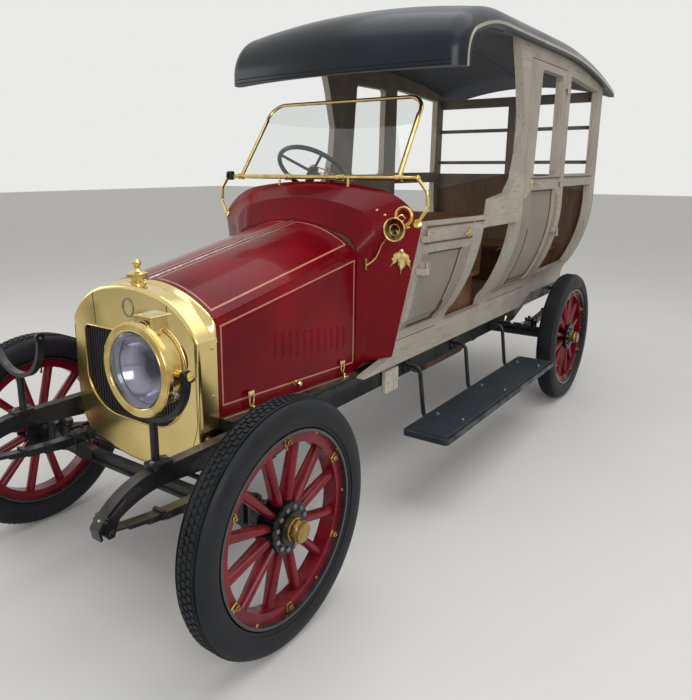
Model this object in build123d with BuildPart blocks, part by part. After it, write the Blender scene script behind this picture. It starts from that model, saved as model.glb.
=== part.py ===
from build123d import *
import os
from math import asin, cos, radians, sin

os.makedirs("parts", exist_ok=True)

# A touring car of about 1912 with an open-sided wooden station body.
# Millimetres. X points to the car's left, Y to the rear and Z up; Z = 0 is the ground.
# Sizes along the car are written as a distance behind the front axle, and station() places them.

wheelbase = 3180
track = 1430
front_axle_y = -1776


def station(behind_front_axle):
    return front_axle_y + behind_front_axle


rear_axle_y = station(wheelbase)

# Clearances
seat_gap = 0.3
running_fit = 0.05
door_gap = 5

# Wheels and tyres
tyre_radius = 440
tyre_width = 120
tread_width = 92
rim_radius = 336
rim_width = 96
felloe_inner_radius = 288
felloe_width = 58
spoke_count = 12
spoke_root_radius = 25
spoke_tip_radius = 19
hub_radius = 56
hub_length = 104
hub_flange_radius = 88
hub_flange_thickness = 9
hub_cap_radius = 34
hub_cap_length = 46
spindle_radius = 22
axle_z = tyre_radius
wheel_x = track / 2

# Brake drums on the rear wheels
drum_radius = 165
drum_width = 62
drum_gap = 6

# Frame
rail_x = 410
rail_width = 44
rail_height = 95
rail_top = 660
rail_kick = 70
rail_web = 9
kick_start_y = station(2930)
kick_end_y = station(3130)
rail_end_y = station(3960)

# Front axle
kingpin_x = 600
kingpin_radius = 12
axle_beam_depth = 36
yoke_lug_radius = 25
knuckle_height = 88
yoke_lug_thickness = 20
arm_length = 150
track_rod_radius = 11
track_rod_z = 388

# Drag link and drop arm, on the right
drag_pin_offset = 133
drag_link_x = -472
drag_link_z = 491
drag_arm_z = 522
drag_arm_thickness = 16
steer_box_y = station(890)
drop_shaft_z = 615
drop_shaft_radius = 13
drop_pin_z = drag_link_z

# Springs
leaf_width = 44
leaf_thickness = 7
front_leaf_count = 5
rear_leaf_count = 6
spring_eye_radius = 17
front_spring_half = 470
front_eye_z = 530
front_seat_z = 452
rear_spring_half = 540
horn_tip_y = station(-front_spring_half - 30)
horn_tip_z = front_eye_z + 12
horn_start_y = station(-front_spring_half + 190)
rear_eye_z = 604
rear_spring_x = 478
rear_tube_radius = 38

# Radiator
radiator_half_width = 360
radiator_top = 1180
radiator_bottom = 475
radiator_front_y = station(-12)
radiator_back_y = station(84)
radiator_corner = 16
core_half_width = 280
core_top = 995
core_bottom = 645
core_setback = 10

# Bonnet
bonnet_sheet = 4
bonnet_gap = 5
bonnet_front_y = radiator_back_y + bonnet_gap
bonnet_rear_y = station(984)
bonnet_rod_radius = 5
division_rod_radius = 4
ledge_front_z = 706
ledge_rear_z = 664
ledge_inner_x = 352
ledge_outer_x = 420

# Scuttle
scuttle_sheet = 6
scuttle_front_y = bonnet_rear_y + bonnet_gap
scuttle_rear_y = station(1160)
scuttle_crown = 1536
bulkhead_thickness = 14

# Body
body_half_width = 660
board = 45
sill_x = 468
sill_bottom = rail_top + seat_gap
sill_top = 780
waist_bottom = 1470
waist_top = 1550
front_pillar_y = scuttle_rear_y + 2
front_post_y = station(1200)
front_half_width = 606
front_door_rear_y = station(1640)
armrest_start_y = station(1745)
b_post_y = station(2230)
rear_door_front_y = station(2305)
rear_door_rear_y = station(2960)
c_post_rear_y = station(3050)
quarter_rear_y = station(3725)
body_rear_y = station(3840)
front_door_top = 1360
armrest_top = 1440
roof_top = 2402
cant_rail_low = roof_top - 276
post_head = roof_top - 112
rear_door_top = roof_top - 214
window_bottom = waist_top
window_top = roof_top - 252
door_sill_rise = 16
rear_wall_thickness = 40

# Windscreen
bar_half_width = 580
bar_y = station(1157)
bar_z = 1556
bar_radius = 11
screen_half_width = 480
screen_top_y = station(1420)
screen_top_z = 1930
screen_tube_radius = 10
bracket_foot_x = 585

# Steering wheel
column_x = -330
column_radius = 19
steer_foot = (column_x, station(842), 640)
steer_centre = (column_x, station(1600), 1580)
steering_wheel_radius = 220
steering_rim_radius = 13

# Headlamps
lamp_x = rail_x - 20
lamp_y = station(-245)
lamp_z = 993
lamp_radius = 128
lamp_rim_radius = 152
lamp_length = 170
trunnion_radius = 6
trunnion_boss_radius = 14
fork_half = lamp_radius + 36
fork_bar = 16
fork_eye_radius = 18

# Running boards
board_inner_x = 585
board_outer_x = 820
board_top = 392
board_thickness = 26
board_front_y = station(1070)
board_rear_y = station(2650)
iron_stations = (station(1370), station(1930), station(2500))


def finish(piece, name):
    """Label a finished piece and write it."""
    piece.part.label = name
    export_step(piece.part, "parts/" + name + ".step")


def mirrored(piece):
    """The same piece on the car's other side."""
    with BuildPart() as other:
        mirror(piece.part, about=Plane.YZ)
    return other


def across(y):
    """A section plane across the car; local x is X, local y is Z, extrusion goes forward."""
    return Plane.XZ.offset(-y)


def along(x):
    """A plane along the car; local x is Y, local y is Z, extrusion goes to +X."""
    return Plane.YZ.offset(x)


def rod(start, end, radius):
    """A round bar between two points, joined to the piece being built."""
    line = Vector(*end) - Vector(*start)
    with BuildSketch(Plane(origin=start, z_dir=line)) as section:
        Circle(radius)
    extrude(section.sketch, amount=line.length)


# Frame side rails: pressed channels, open to the inside, with the dumb irons at the front

def rail_outline(plane):
    """The rail's side view: dumb iron, straight run, rise over the rear axle."""
    bottom = rail_top - rail_height
    with BuildSketch(plane) as view:
        with BuildLine():
            Line((horn_start_y, rail_top), (kick_start_y, rail_top))
            Line((kick_start_y, rail_top), (kick_end_y, rail_top + rail_kick))
            Line((kick_end_y, rail_top + rail_kick), (rail_end_y, rail_top + rail_kick))
            Line((rail_end_y, rail_top + rail_kick), (rail_end_y, bottom + rail_kick + 20))
            Line((rail_end_y, bottom + rail_kick + 20), (rail_end_y - 160, bottom + rail_kick))
            Line((rail_end_y - 160, bottom + rail_kick), (kick_end_y, bottom + rail_kick))
            Line((kick_end_y, bottom + rail_kick), (kick_start_y, bottom))
            Line((kick_start_y, bottom), (station(120), bottom))
            Line((station(120), bottom), (horn_tip_y + 270, bottom + 34))
            ThreePointArc(
                (horn_tip_y + 270, bottom + 34), (horn_tip_y + 120, bottom + 14),
                (horn_tip_y, horn_tip_z - 30)
            )
            Line((horn_tip_y, horn_tip_z - 30), (horn_tip_y - 8, horn_tip_z + 8))
            ThreePointArc(
                (horn_tip_y - 8, horn_tip_z + 8), (horn_tip_y + 95, rail_top - 30), (horn_start_y, rail_top)
            )
        make_face()
    return view.sketch


def rail_pocket(plane):
    """What is left open between the channel's flanges."""
    top = rail_top - rail_web
    bottom = rail_top - rail_height + rail_web
    with BuildSketch(plane) as view:
        with BuildLine():
            Polyline(
                (station(160), top),
                (kick_start_y + 4, top),
                (kick_end_y + 4, top + rail_kick),
                (rail_end_y - 200, top + rail_kick),
                (rail_end_y - 200, bottom + rail_kick),
                (kick_end_y + 4, bottom + rail_kick),
                (kick_start_y + 4, bottom),
                (station(160), bottom),
                close=True,
            )
        make_face()
    return view.sketch


with BuildPart() as rail_left:
    extrude(rail_outline(along(rail_x - rail_width / 2)), amount=rail_width)
    extrude(rail_pocket(along(rail_x - rail_width / 2)), amount=rail_width - rail_web,
            mode=Mode.SUBTRACT)
    # the fork of the dumb iron, which holds the spring's front eye
    with BuildSketch(along(rail_x - rail_width / 2 - 1)):
        with Locations((station(-front_spring_half), front_eye_z)):
            Circle(spring_eye_radius + 8)
        with Locations((station(-front_spring_half) + 60, front_eye_z - 22)):
            Rectangle(150, 44)
    extrude(amount=rail_width + 2, mode=Mode.SUBTRACT)
    for cheek_x in (rail_x - rail_width / 2 - 9, rail_x + rail_width / 2 + 1):
        with BuildSketch(along(cheek_x)):
            with BuildLine():
                Polyline(
                    (station(-front_spring_half) - 17, front_eye_z),
                    (station(-front_spring_half) - 17, horn_tip_z + 28),
                    (station(-front_spring_half) + 62, horn_tip_z + 72),
                    (station(-front_spring_half) + 17, front_eye_z),
                    close=True,
                )
            make_face()
            with Locations((station(-front_spring_half), front_eye_z)):
                Circle(spring_eye_radius)
        extrude(amount=8)
    with BuildSketch(along(rail_x - rail_width / 2 - 9)):
        with Locations((station(-front_spring_half) + 4, horn_tip_z + 32)):
            Rectangle(26, 16)
    extrude(amount=rail_width + 18)
    # the eye's bolt
    with BuildSketch(along(rail_x - rail_width / 2 - 16)):
        with Locations((station(-front_spring_half), front_eye_z)):
            Circle(8)
    extrude(amount=rail_width + 32)
    # the rear spring's front pin and its rear shackle bracket, outside the rail
    with BuildSketch(along(rail_x + rail_width / 2 - rail_web)):
        with Locations((rear_axle_y - rear_spring_half, rear_eye_z)):
            Circle(11)
    extrude(amount=rear_spring_x + leaf_width / 2 + 12 - (rail_x + rail_width / 2 - rail_web))
    with BuildSketch(along(rail_x + rail_width / 2 - rail_web)):
        with Locations((rear_axle_y + rear_spring_half + 30, rear_eye_z + 66)):
            Circle(13)
    extrude(amount=rear_spring_x + leaf_width / 2 + 12 - (rail_x + rail_width / 2 - rail_web))
    # the ledge that the bonnet's side rests on
    with BuildSketch(along(ledge_inner_x)):
        with BuildLine():
            Polyline(
                (bonnet_front_y, rail_top),
                (bonnet_front_y, ledge_front_z),
                (bonnet_rear_y, ledge_rear_z),
                (bonnet_rear_y, rail_top),
                close=True,
            )
        make_face()
    extrude(amount=ledge_outer_x - ledge_inner_x)
    # the bracket of the front spring's rear shackle
    with BuildSketch(along(rail_x - 14)):
        with Locations((station(front_spring_half + 26), rail_top - rail_height - 8)):
            Rectangle(30, 17)
    extrude(amount=28)

rail_right = mirrored(rail_left)
with BuildPart() as rail_right_bored:
    add(rail_right.part)
    with BuildSketch(along(-rail_x - rail_width)):
        with Locations((steer_box_y, drop_shaft_z)):
            Circle(drop_shaft_radius + seat_gap)
    extrude(amount=2 * rail_width, mode=Mode.SUBTRACT)

finish(rail_left, "frame_rail_left")
finish(rail_right_bored, "frame_rail_right")

# Cross members between the rails: one behind the radiator, two at the gearbox, two at the rear
cross_inner_x = rail_x - rail_width / 2
gearbox_front_y = station(1180)
gearbox_rear_y = station(1570)
cross_thickness = 38
cross_members = (
    # front face, bottom, height
    (station(112), rail_top - rail_height, rail_height),
    (gearbox_front_y - cross_thickness, rail_top - rail_height, rail_height),
    (gearbox_rear_y, rail_top - rail_height, rail_height),
    (station(2560), rail_top - rail_height, rail_height),
    (rail_end_y - 200, rail_top - rail_height + rail_kick, rail_height),
)
with BuildPart() as frame_cross_members:
    for front_face, low, height in cross_members:
        with BuildSketch(across(front_face)):
            with Locations((0, low + height / 2)):
                Rectangle(2 * cross_inner_x, height)
        extrude(amount=-cross_thickness)
finish(frame_cross_members, "frame_cross_members")

# Front axle: a forged beam with a recessed web, spring pads, yokes and kingpins
boss_bottom = axle_z - knuckle_height / 2
boss_top = axle_z + knuckle_height / 2
lug_gap = 0.5
with BuildPart() as front_axle:
    with BuildSketch(across(station(axle_beam_depth / 2))):
        with BuildLine():
            Polyline(
                (-562, boss_top + 18),
                (-500, front_seat_z - 6),
                (-468, front_seat_z),
                (-352, front_seat_z),
                (-290, front_seat_z - 8),
                (290, front_seat_z - 8),
                (352, front_seat_z),
                (468, front_seat_z),
                (500, front_seat_z - 6),
                (562, boss_top + 18),
                (562, boss_bottom - 18),
                (480, front_seat_z - 56),
                (290, front_seat_z - 60),
                (-290, front_seat_z - 60),
                (-480, front_seat_z - 56),
                (-562, boss_bottom - 18),
                close=True,
            )
        make_face()
    extrude(amount=axle_beam_depth)
    for web_y, direction in ((station(-axle_beam_depth / 2), -1), (station(axle_beam_depth / 2), 1)):
        with BuildSketch(across(web_y)):
            with Locations((0, front_seat_z - 34)):
                Rectangle(600, 32)
        extrude(amount=direction * 11, mode=Mode.SUBTRACT)
    for side in (-1, 1):
        for lug_z in (boss_top + lug_gap, boss_bottom - lug_gap - yoke_lug_thickness):
            with BuildSketch(Plane.XY.offset(lug_z)):
                with Locations((side * kingpin_x, station(0))):
                    Circle(yoke_lug_radius)
                with Locations((side * (kingpin_x - 26), station(0))):
                    Rectangle(52, axle_beam_depth)
            extrude(amount=yoke_lug_thickness)
        with BuildSketch(Plane.XY.offset(boss_bottom - 32)):
            with Locations((side * kingpin_x, station(0))):
                Circle(kingpin_radius)
        extrude(amount=knuckle_height + 62)
finish(front_axle, "front_axle")

# Steering knuckles: boss, stub axle and the arm of the track rod
arm_z = track_rod_z + track_rod_radius + 4
arm_thickness = 20


def plain_knuckle():
    """The left knuckle; its mirror image is the start of the right one."""
    with BuildPart() as knuckle:
        with BuildSketch(Plane.XY.offset(boss_bottom)):
            with Locations((kingpin_x, station(0))):
                Circle(yoke_lug_radius)
        extrude(amount=knuckle_height)
        with BuildSketch(along(kingpin_x + 14)):
            with Locations((station(0), axle_z)):
                Circle(30)
        extrude(amount=wheel_x - hub_length / 2 - kingpin_x - 14 - 2)
        with BuildSketch(along(kingpin_x + 14)):
            with Locations((station(0), axle_z)):
                Circle(spindle_radius)
        extrude(amount=wheel_x + hub_length / 2 + 14 - kingpin_x - 14)
        with BuildSketch(Plane.XY.offset(arm_z)):
            with Locations((kingpin_x, station(arm_length / 2 + 6))):
                Rectangle(24, arm_length - 6)
            with Locations((kingpin_x, station(arm_length))):
                Circle(18)
        extrude(amount=arm_thickness)
        with BuildSketch(Plane.XY.offset(boss_bottom - 1)):
            with Locations((kingpin_x, station(0))):
                Circle(kingpin_radius + running_fit)
        extrude(amount=knuckle_height + 2, mode=Mode.SUBTRACT)
        with BuildSketch(Plane.XY.offset(arm_z - 1)):
            with Locations((kingpin_x, station(arm_length))):
                Circle(8 + running_fit)
        extrude(amount=arm_thickness + 2, mode=Mode.SUBTRACT)
    return knuckle


finish(plain_knuckle(), "knuckle_left")

# The right knuckle also has the arm of the drag link, which passes over the yoke
riser_y = station(45)
with BuildPart() as knuckle_right:
    mirror(plain_knuckle().part, about=Plane.YZ)
    with BuildSketch(Plane.XY.offset(axle_z)):
        with Locations((-kingpin_x, riser_y)):
            Rectangle(28, 24)
    extrude(amount=drag_arm_z + drag_arm_thickness - axle_z)
    with BuildSketch(Plane.XY.offset(axle_z)):
        with Locations((-kingpin_x, station(28))):
            Rectangle(28, 24)
    extrude(amount=boss_top - axle_z - 6)
    with BuildSketch(Plane.XY.offset(drag_arm_z)):
        with BuildLine():
            Polyline(
                (-kingpin_x - 14, riser_y + 12),
                (-kingpin_x + 20, riser_y + 12),
                (-kingpin_x + drag_pin_offset + 4, station(14)),
                (-kingpin_x + drag_pin_offset - 6, station(-14)),
                (-kingpin_x - 14, riser_y - 12),
                close=True,
            )
        make_face()
        with Locations((-kingpin_x + drag_pin_offset, station(0))):
            Circle(15)
    extrude(amount=drag_arm_thickness)
    with BuildSketch(Plane.XY.offset(drag_link_z - 16)):
        with Locations((-kingpin_x + drag_pin_offset, station(0))):
            Circle(7)
    extrude(amount=drag_arm_z - drag_link_z + 17)
finish(knuckle_right, "knuckle_right")

# Track rod: its end pins stand in the knuckles' arms
with BuildPart() as track_rod:
    rod((-kingpin_x, station(arm_length), track_rod_z), (kingpin_x, station(arm_length), track_rod_z),
        track_rod_radius)
    for side in (-1, 1):
        with BuildSketch(Plane.XY.offset(track_rod_z - 14)):
            with Locations((side * kingpin_x, station(arm_length))):
                Circle(17)
        extrude(amount=arm_z - seat_gap - track_rod_z + 14)
        with BuildSketch(Plane.XY.offset(track_rod_z)):
            with Locations((side * kingpin_x, station(arm_length))):
                Circle(8)
        extrude(amount=arm_z + arm_thickness + 10 - track_rod_z)
finish(track_rod, "track_rod")

# Drop arm on the steering box's shaft, and the drag link that hangs on its pin
drop_arm_x = -rail_x - rail_width / 2 - 10
drop_arm_thickness = 14
with BuildPart() as drop_arm:
    with BuildSketch(along(drop_arm_x - drop_arm_thickness)):
        with Locations((steer_box_y, drop_shaft_z)):
            Circle(23)
        with Locations((steer_box_y, drop_pin_z)):
            Circle(15)
        with BuildLine():
            Polyline(
                (steer_box_y - 18, drop_shaft_z),
                (steer_box_y + 18, drop_shaft_z),
                (steer_box_y + 13, drop_pin_z),
                (steer_box_y - 13, drop_pin_z),
                close=True,
            )
        make_face()
    extrude(amount=drop_arm_thickness)
    with BuildSketch(along(drop_arm_x - drop_arm_thickness - 1)):
        with Locations((steer_box_y, drop_shaft_z)):
            Circle(drop_shaft_radius + running_fit)
    extrude(amount=drop_arm_thickness + 2, mode=Mode.SUBTRACT)
    with BuildSketch(along(drop_arm_x - drop_arm_thickness)):
        with Locations((steer_box_y, drop_pin_z)):
            Circle(7)
    extrude(amount=-30)
finish(drop_arm, "drop_arm")

socket_radius = 20
socket_bore = 13
drag_eye_x = drop_arm_x - drop_arm_thickness - 2
with BuildPart() as drag_link:
    rod((drag_link_x, station(16), drag_link_z), (drag_link_x, steer_box_y - 12, drag_link_z), 10)
    with BuildSketch(Plane.XY.offset(drag_link_z - 13)):
        with Locations((drag_link_x, station(0))):
            Circle(socket_radius)
    extrude(amount=26)
    with BuildSketch(along(drag_eye_x - 16)):
        with Locations((steer_box_y, drag_link_z)):
            Circle(17)
    extrude(amount=16)
    with BuildSketch(Plane.XY.offset(drag_link_z - 14)):
        with Locations((drag_link_x, station(0))):
            Circle(socket_bore)
    extrude(amount=28, mode=Mode.SUBTRACT)
    with BuildSketch(along(drag_eye_x - 20)):
        with Locations((steer_box_y, drag_link_z)):
            Circle(7 + running_fit)
    extrude(amount=24, mode=Mode.SUBTRACT)
finish(drag_link, "drag_link")

# Springs: stacks of leaves on one arc, each shorter than the one above


def leaf_stack(spring_x, centre_y, half_length, eye_z, seat_z, leaf_count):
    """One semi-elliptic spring with its eyes, clip plates and U-bolts' top plate."""
    main_bottom = seat_z + (leaf_count - 1) * leaf_thickness
    sag = eye_z - leaf_thickness / 2 - main_bottom
    arc_radius = (half_length ** 2 + sag ** 2) / (2 * sag)
    arc_centre_z = main_bottom + arc_radius
    with BuildPart() as spring:
        for leaf in range(leaf_count):
            outer = arc_radius + leaf * leaf_thickness
            inner = outer - leaf_thickness
            reach = asin(half_length * (1 - 0.16 * leaf) / arc_radius)
            with BuildSketch(along(spring_x - leaf_width / 2)):
                with BuildLine():
                    points = {}
                    for name, radius in (("outer", outer), ("inner", inner)):
                        points[name] = [
                            (centre_y + radius * sin(turn), arc_centre_z - radius * cos(turn))
                            for turn in (-reach, 0, reach)
                        ]
                    ThreePointArc(*points["outer"])
                    Line(points["outer"][2], points["inner"][2])
                    ThreePointArc(*reversed(points["inner"]))
                    Line(points["inner"][0], points["outer"][0])
                make_face()
            extrude(amount=leaf_width)
        for end in (-1, 1):
            with BuildSketch(along(spring_x - leaf_width / 2)):
                with Locations((centre_y + end * half_length, eye_z)):
                    Circle(spring_eye_radius)
            extrude(amount=leaf_width)
        with BuildSketch(Plane.XY.offset(main_bottom + leaf_thickness - 2)):
            with Locations((spring_x, centre_y)):
                Rectangle(leaf_width + 16, 92)
        extrude(amount=12)
        for end in (-1, 1):
            with BuildSketch(along(spring_x - leaf_width / 2 - 1)):
                with Locations((centre_y + end * half_length, eye_z)):
                    Circle(11 + 0.2)
            extrude(amount=leaf_width + 2, mode=Mode.SUBTRACT)
    return spring


front_spring = leaf_stack(rail_x, station(0), front_spring_half, front_eye_z, front_seat_z,
                          front_leaf_count)
rear_spring = leaf_stack(rear_spring_x, rear_axle_y, rear_spring_half, rear_eye_z,
                         axle_z + rear_tube_radius + 4, rear_leaf_count)

# Shackles: two side plates and a bolt at each spring's rear eye
shackle_bolt = 11
with BuildPart() as front_shackle:
    for plate_x in (rail_x - leaf_width / 2 - 7, rail_x + leaf_width / 2 + 1):
        with BuildSketch(along(plate_x)):
            with BuildLine():
                Polyline(
                    (station(front_spring_half) - 15, front_eye_z),
                    (station(front_spring_half) + 15, front_eye_z),
                    (station(front_spring_half + 26) + 13, rail_top - rail_height - 9),
                    (station(front_spring_half + 26) - 13, rail_top - rail_height - 9),
                    close=True,
                )
            make_face()
        extrude(amount=6)
    with BuildSketch(along(rail_x - leaf_width / 2 - 7)):
        with Locations((station(front_spring_half), front_eye_z)):
            Circle(shackle_bolt)
    extrude(amount=leaf_width + 14)
with BuildPart() as rear_shackle:
    shackle_top_y = rear_axle_y + rear_spring_half + 30
    shackle_top_z = rear_eye_z + 66
    for plate_x in (rear_spring_x - leaf_width / 2 - 7, rear_spring_x + leaf_width / 2 + 1):
        with BuildSketch(along(plate_x)):
            with BuildLine():
                Polyline(
                    (rear_axle_y + rear_spring_half - 15, rear_eye_z),
                    (rear_axle_y + rear_spring_half + 15, rear_eye_z),
                    (shackle_top_y + 13, shackle_top_z),
                    (shackle_top_y - 13, shackle_top_z),
                    close=True,
                )
            make_face()
            with Locations((shackle_top_y, shackle_top_z)):
                Circle(20)
                Circle(13.2, mode=Mode.SUBTRACT)
            with Locations((rear_axle_y + rear_spring_half, rear_eye_z)):
                Circle(18)
        extrude(amount=6)
    with BuildSketch(along(rear_spring_x - leaf_width / 2 - 7)):
        with Locations((rear_axle_y + rear_spring_half, rear_eye_z)):
            Circle(shackle_bolt)
    extrude(amount=leaf_width + 14)

with BuildPart() as leaf_springs:
    for piece in (front_spring, rear_spring, front_shackle, rear_shackle):
        add(piece.part)
        mirror(piece.part, about=Plane.YZ)
finish(leaf_springs, "leaf_springs")

# Rear axle: tubes, bevel gear casing, spring seats, brake back plates and stub ends
casing_radius = 140
casing_nose_y = rear_axle_y - 230
with BuildPart() as rear_axle:
    back_plate_x = wheel_x - hub_length / 2 - drum_gap - drum_width
    with BuildSketch(along(-back_plate_x)):
        with Locations((rear_axle_y, axle_z)):
            Circle(rear_tube_radius)
    extrude(amount=2 * back_plate_x)
    with BuildSketch(along(-75)):
        with Locations((rear_axle_y, axle_z)):
            Circle(casing_radius)
    extrude(amount=150)
    chamfer([edge for edge in rear_axle.edges().filter_by(GeomType.CIRCLE)
             if abs(edge.radius - casing_radius) < 1], length=28)
    with BuildSketch(across(rear_axle_y - casing_radius + 30)):
        with Locations((0, axle_z)):
            Circle(78)
    extrude(amount=rear_axle_y - casing_radius + 30 - casing_nose_y, taper=14)
    for side in (-1, 1):
        with BuildSketch(Plane.XY.offset(axle_z + rear_tube_radius - 12)):
            with Locations((side * rear_spring_x, rear_axle_y)):
                Rectangle(leaf_width + 12, 92)
        extrude(amount=16)
        with BuildSketch(along(side * (back_plate_x - 8))):
            with Locations((rear_axle_y, axle_z)):
                Circle(drum_radius - 10)
        extrude(amount=side * 8)
        with BuildSketch(along(side * back_plate_x)):
            with Locations((rear_axle_y, axle_z)):
                Circle(spindle_radius)
        extrude(amount=side * (wheel_x + hub_length / 2 + 14 - back_plate_x))
finish(rear_axle, "rear_axle")

# Engine: one plain block with its bearer arms and sump
engine_half_width = 110
engine_front_y = station(200)
engine_rear_y = station(870)
with BuildPart() as engine_block:
    with BuildSketch(Plane.XY.offset(560)):
        with Locations((0, (engine_front_y + engine_rear_y) / 2)):
            Rectangle(2 * engine_half_width, engine_rear_y - engine_front_y)
    extrude(amount=400)
    with BuildSketch(across(engine_rear_y)):
        with BuildLine():
            Polyline(
                (-engine_half_width, 560), (-80, 425), (80, 425), (engine_half_width, 560), close=True
            )
        make_face()
    extrude(amount=engine_rear_y - engine_front_y)
    for arm_y in (engine_front_y + 60, engine_rear_y - 100):
        with BuildSketch(Plane.XY.offset(rail_top - rail_height)):
            with Locations((0, arm_y)):
                Rectangle(2 * cross_inner_x, 44)
        extrude(amount=rail_height - 10)
    # crankshaft line to the clutch
    with BuildSketch(across(engine_rear_y + 70)):
        with Locations((0, 500)):
            Circle(150)
    extrude(amount=70)
finish(engine_block, "engine_block")

# Gearbox between its two cross members, with the clutch shaft and the propeller shaft
shaft_radius = 27
with BuildPart() as gearbox:
    with BuildSketch(across(gearbox_rear_y)):
        with Locations((0, 520)):
            RectangleRounded(270, 260, 34)
    extrude(amount=gearbox_rear_y - gearbox_front_y)
    rod((0, engine_rear_y + 70, axle_z + 60), (0, gearbox_front_y, axle_z + 60), 24)
    rod((0, gearbox_rear_y, axle_z), (0, casing_nose_y, axle_z), shaft_radius)
    for joint_y in (gearbox_rear_y + 10, casing_nose_y - 80):
        with BuildSketch(across(joint_y + 70)):
            with Locations((0, axle_z)):
                Circle(46)
        extrude(amount=62)
finish(gearbox, "gearbox")

# Exhaust: pipe from the engine, silencer and tail pipe under the left rail
exhaust_x = 250
exhaust_z = 490
silencer_radius = 70
with BuildPart() as exhaust:
    with BuildLine() as exhaust_line:
        FilletPolyline(
            (engine_half_width, station(640), 600),
            (exhaust_x, station(640), 600),
            (exhaust_x, station(760), exhaust_z),
            (exhaust_x, station(2740), exhaust_z),
            radius=50,
        )
    with BuildSketch(Plane(origin=(engine_half_width, station(640), 600), z_dir=(1, 0, 0))):
        Circle(24)
    sweep(path=exhaust_line.line)
    with BuildSketch(across(station(2380))):
        with Locations((exhaust_x, exhaust_z)):
            Circle(silencer_radius)
    extrude(amount=560)
    chamfer([edge for edge in exhaust.edges().filter_by(GeomType.CIRCLE)
             if abs(edge.radius - silencer_radius) < 1], length=16)
    # hanger strap up to the rear gearbox member and the next one
    with BuildSketch(across(station(2560) + cross_thickness)):
        with Locations((exhaust_x, (exhaust_z + rail_top - rail_height) / 2 + 6)):
            Rectangle(30, rail_top - rail_height - exhaust_z - 12)
    extrude(amount=cross_thickness)
finish(exhaust, "exhaust")

# Radiator: a brass shell with an arched top and a rounded foot, and its core
arch_shoulder_z = 1010


def radiator_outline(plane, inset=0):
    """Front view of the shell: arched top, straight sides, horseshoe foot."""
    half = radiator_half_width - inset
    top = radiator_top - inset
    bottom = radiator_bottom + inset
    with BuildSketch(plane) as view:
        with BuildLine():
            ThreePointArc((-half, arch_shoulder_z), (-half * 0.72, top - 62), (-half * 0.36, top - 14))
            ThreePointArc((-half * 0.36, top - 14), (0, top), (half * 0.36, top - 14))
            ThreePointArc((half * 0.36, top - 14), (half * 0.72, top - 62), (half, arch_shoulder_z))
            Line((half, arch_shoulder_z), (half, 640))
            ThreePointArc((half, 640), (half * 0.86, 550), (half * 0.56, 505))
            ThreePointArc((half * 0.56, 505), (0, bottom), (-half * 0.56, 505))
            ThreePointArc((-half * 0.56, 505), (-half * 0.86, 550), (-half, 640))
            Line((-half, 640), (-half, arch_shoulder_z))
        make_face()
    return view.sketch


def core_outline(plane, half, top, bottom):
    """The opening for the core: square shoulders and a rounded foot."""
    with BuildSketch(plane) as view:
        with BuildLine():
            Line((-half, bottom + 150), (-half, top - 22))
            ThreePointArc((-half, top - 22), (-half + 7, top - 7), (-half + 22, top))
            Line((-half + 22, top), (half - 22, top))
            ThreePointArc((half - 22, top), (half - 7, top - 7), (half, top - 22))
            Line((half, top - 22), (half, bottom + 150))
            ThreePointArc((half, bottom + 150), (half * 0.72, bottom + 36), (half * 0.3, bottom))
            Line((half * 0.3, bottom), (-half * 0.3, bottom))
            ThreePointArc((-half * 0.3, bottom), (-half * 0.72, bottom + 36), (-half, bottom + 150))
        make_face()
    return view.sketch


with BuildPart() as radiator_shell:
    extrude(radiator_outline(across(radiator_back_y)), amount=radiator_back_y - radiator_front_y)
    front_face = radiator_shell.faces().sort_by(Axis.Y)[0]
    fillet(front_face.edges(), radius=radiator_corner)
    extrude(core_outline(across(radiator_back_y + 1), core_half_width, core_top, core_bottom),
            amount=radiator_back_y - radiator_front_y + 2, mode=Mode.SUBTRACT)
    # side lugs that rest against the rails
    for side in (-1, 1):
        with BuildSketch(Plane.XY.offset(rail_top - 60)):
            with Locations((side * (radiator_half_width - 6 + cross_inner_x) / 2, station(36))):
                Rectangle(cross_inner_x - radiator_half_width + 6, 50)
        extrude(amount=36)
    # filler neck and turned cap
    with BuildSketch(Plane(origin=(0, station(40), 0), x_dir=(1, 0, 0), z_dir=(0, -1, 0))):
        with BuildLine():
            Polyline(
                (0, radiator_top - 20), (32, radiator_top - 20), (32, radiator_top + 8),
                (24, radiator_top + 12), (24, radiator_top + 20), (37, radiator_top + 24),
                (37, radiator_top + 38), (20, radiator_top + 46), (10, radiator_top + 56),
                (10, radiator_top + 62), (17, radiator_top + 72), (17, radiator_top + 80),
                (8, radiator_top + 90), (0, radiator_top + 92), close=True,
            )
        make_face()
    revolve(axis=Axis((0, station(40), 0), (0, 0, 1)))
finish(radiator_shell, "radiator_shell")

core_front_y = radiator_front_y + core_setback
passage_pitch = 16
passage_depth = 6
passage_count = int(2 * core_half_width / passage_pitch) - 1
with BuildPart() as radiator_core:
    extrude(core_outline(across(radiator_back_y - 8), core_half_width - seat_gap,
                         core_top - seat_gap, core_bottom + seat_gap),
            amount=radiator_back_y - 8 - core_front_y)
    # upright air passages between the water tubes
    with BuildSketch(across(core_front_y + passage_depth)):
        with Locations((0, (core_top + core_bottom) / 2)):
            with GridLocations(passage_pitch, 1, passage_count, 1):
                Rectangle(passage_pitch / 2, core_top - core_bottom - 24)
    extrude(amount=passage_depth + 1, mode=Mode.SUBTRACT)
finish(radiator_core, "radiator_core")

# Bonnet: two top panels on a centre hinge rod, two side panels hinged to them
hinge_line = ((0, 1186), (0, 1352))
division_line = ((346, 1076), (350, 1240))
arch_line = ((190, 1163), (190, 1329))
bonnet_side_front_x = 358
bonnet_side_rear_x = 368
louvre_count = 11
louvre_pitch = 48
louvre_front_y = station(395)
louvre_low = 862
louvre_fall = 6
louvre_height = 100
louvre_width = 20
louvre_lip = 5


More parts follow.
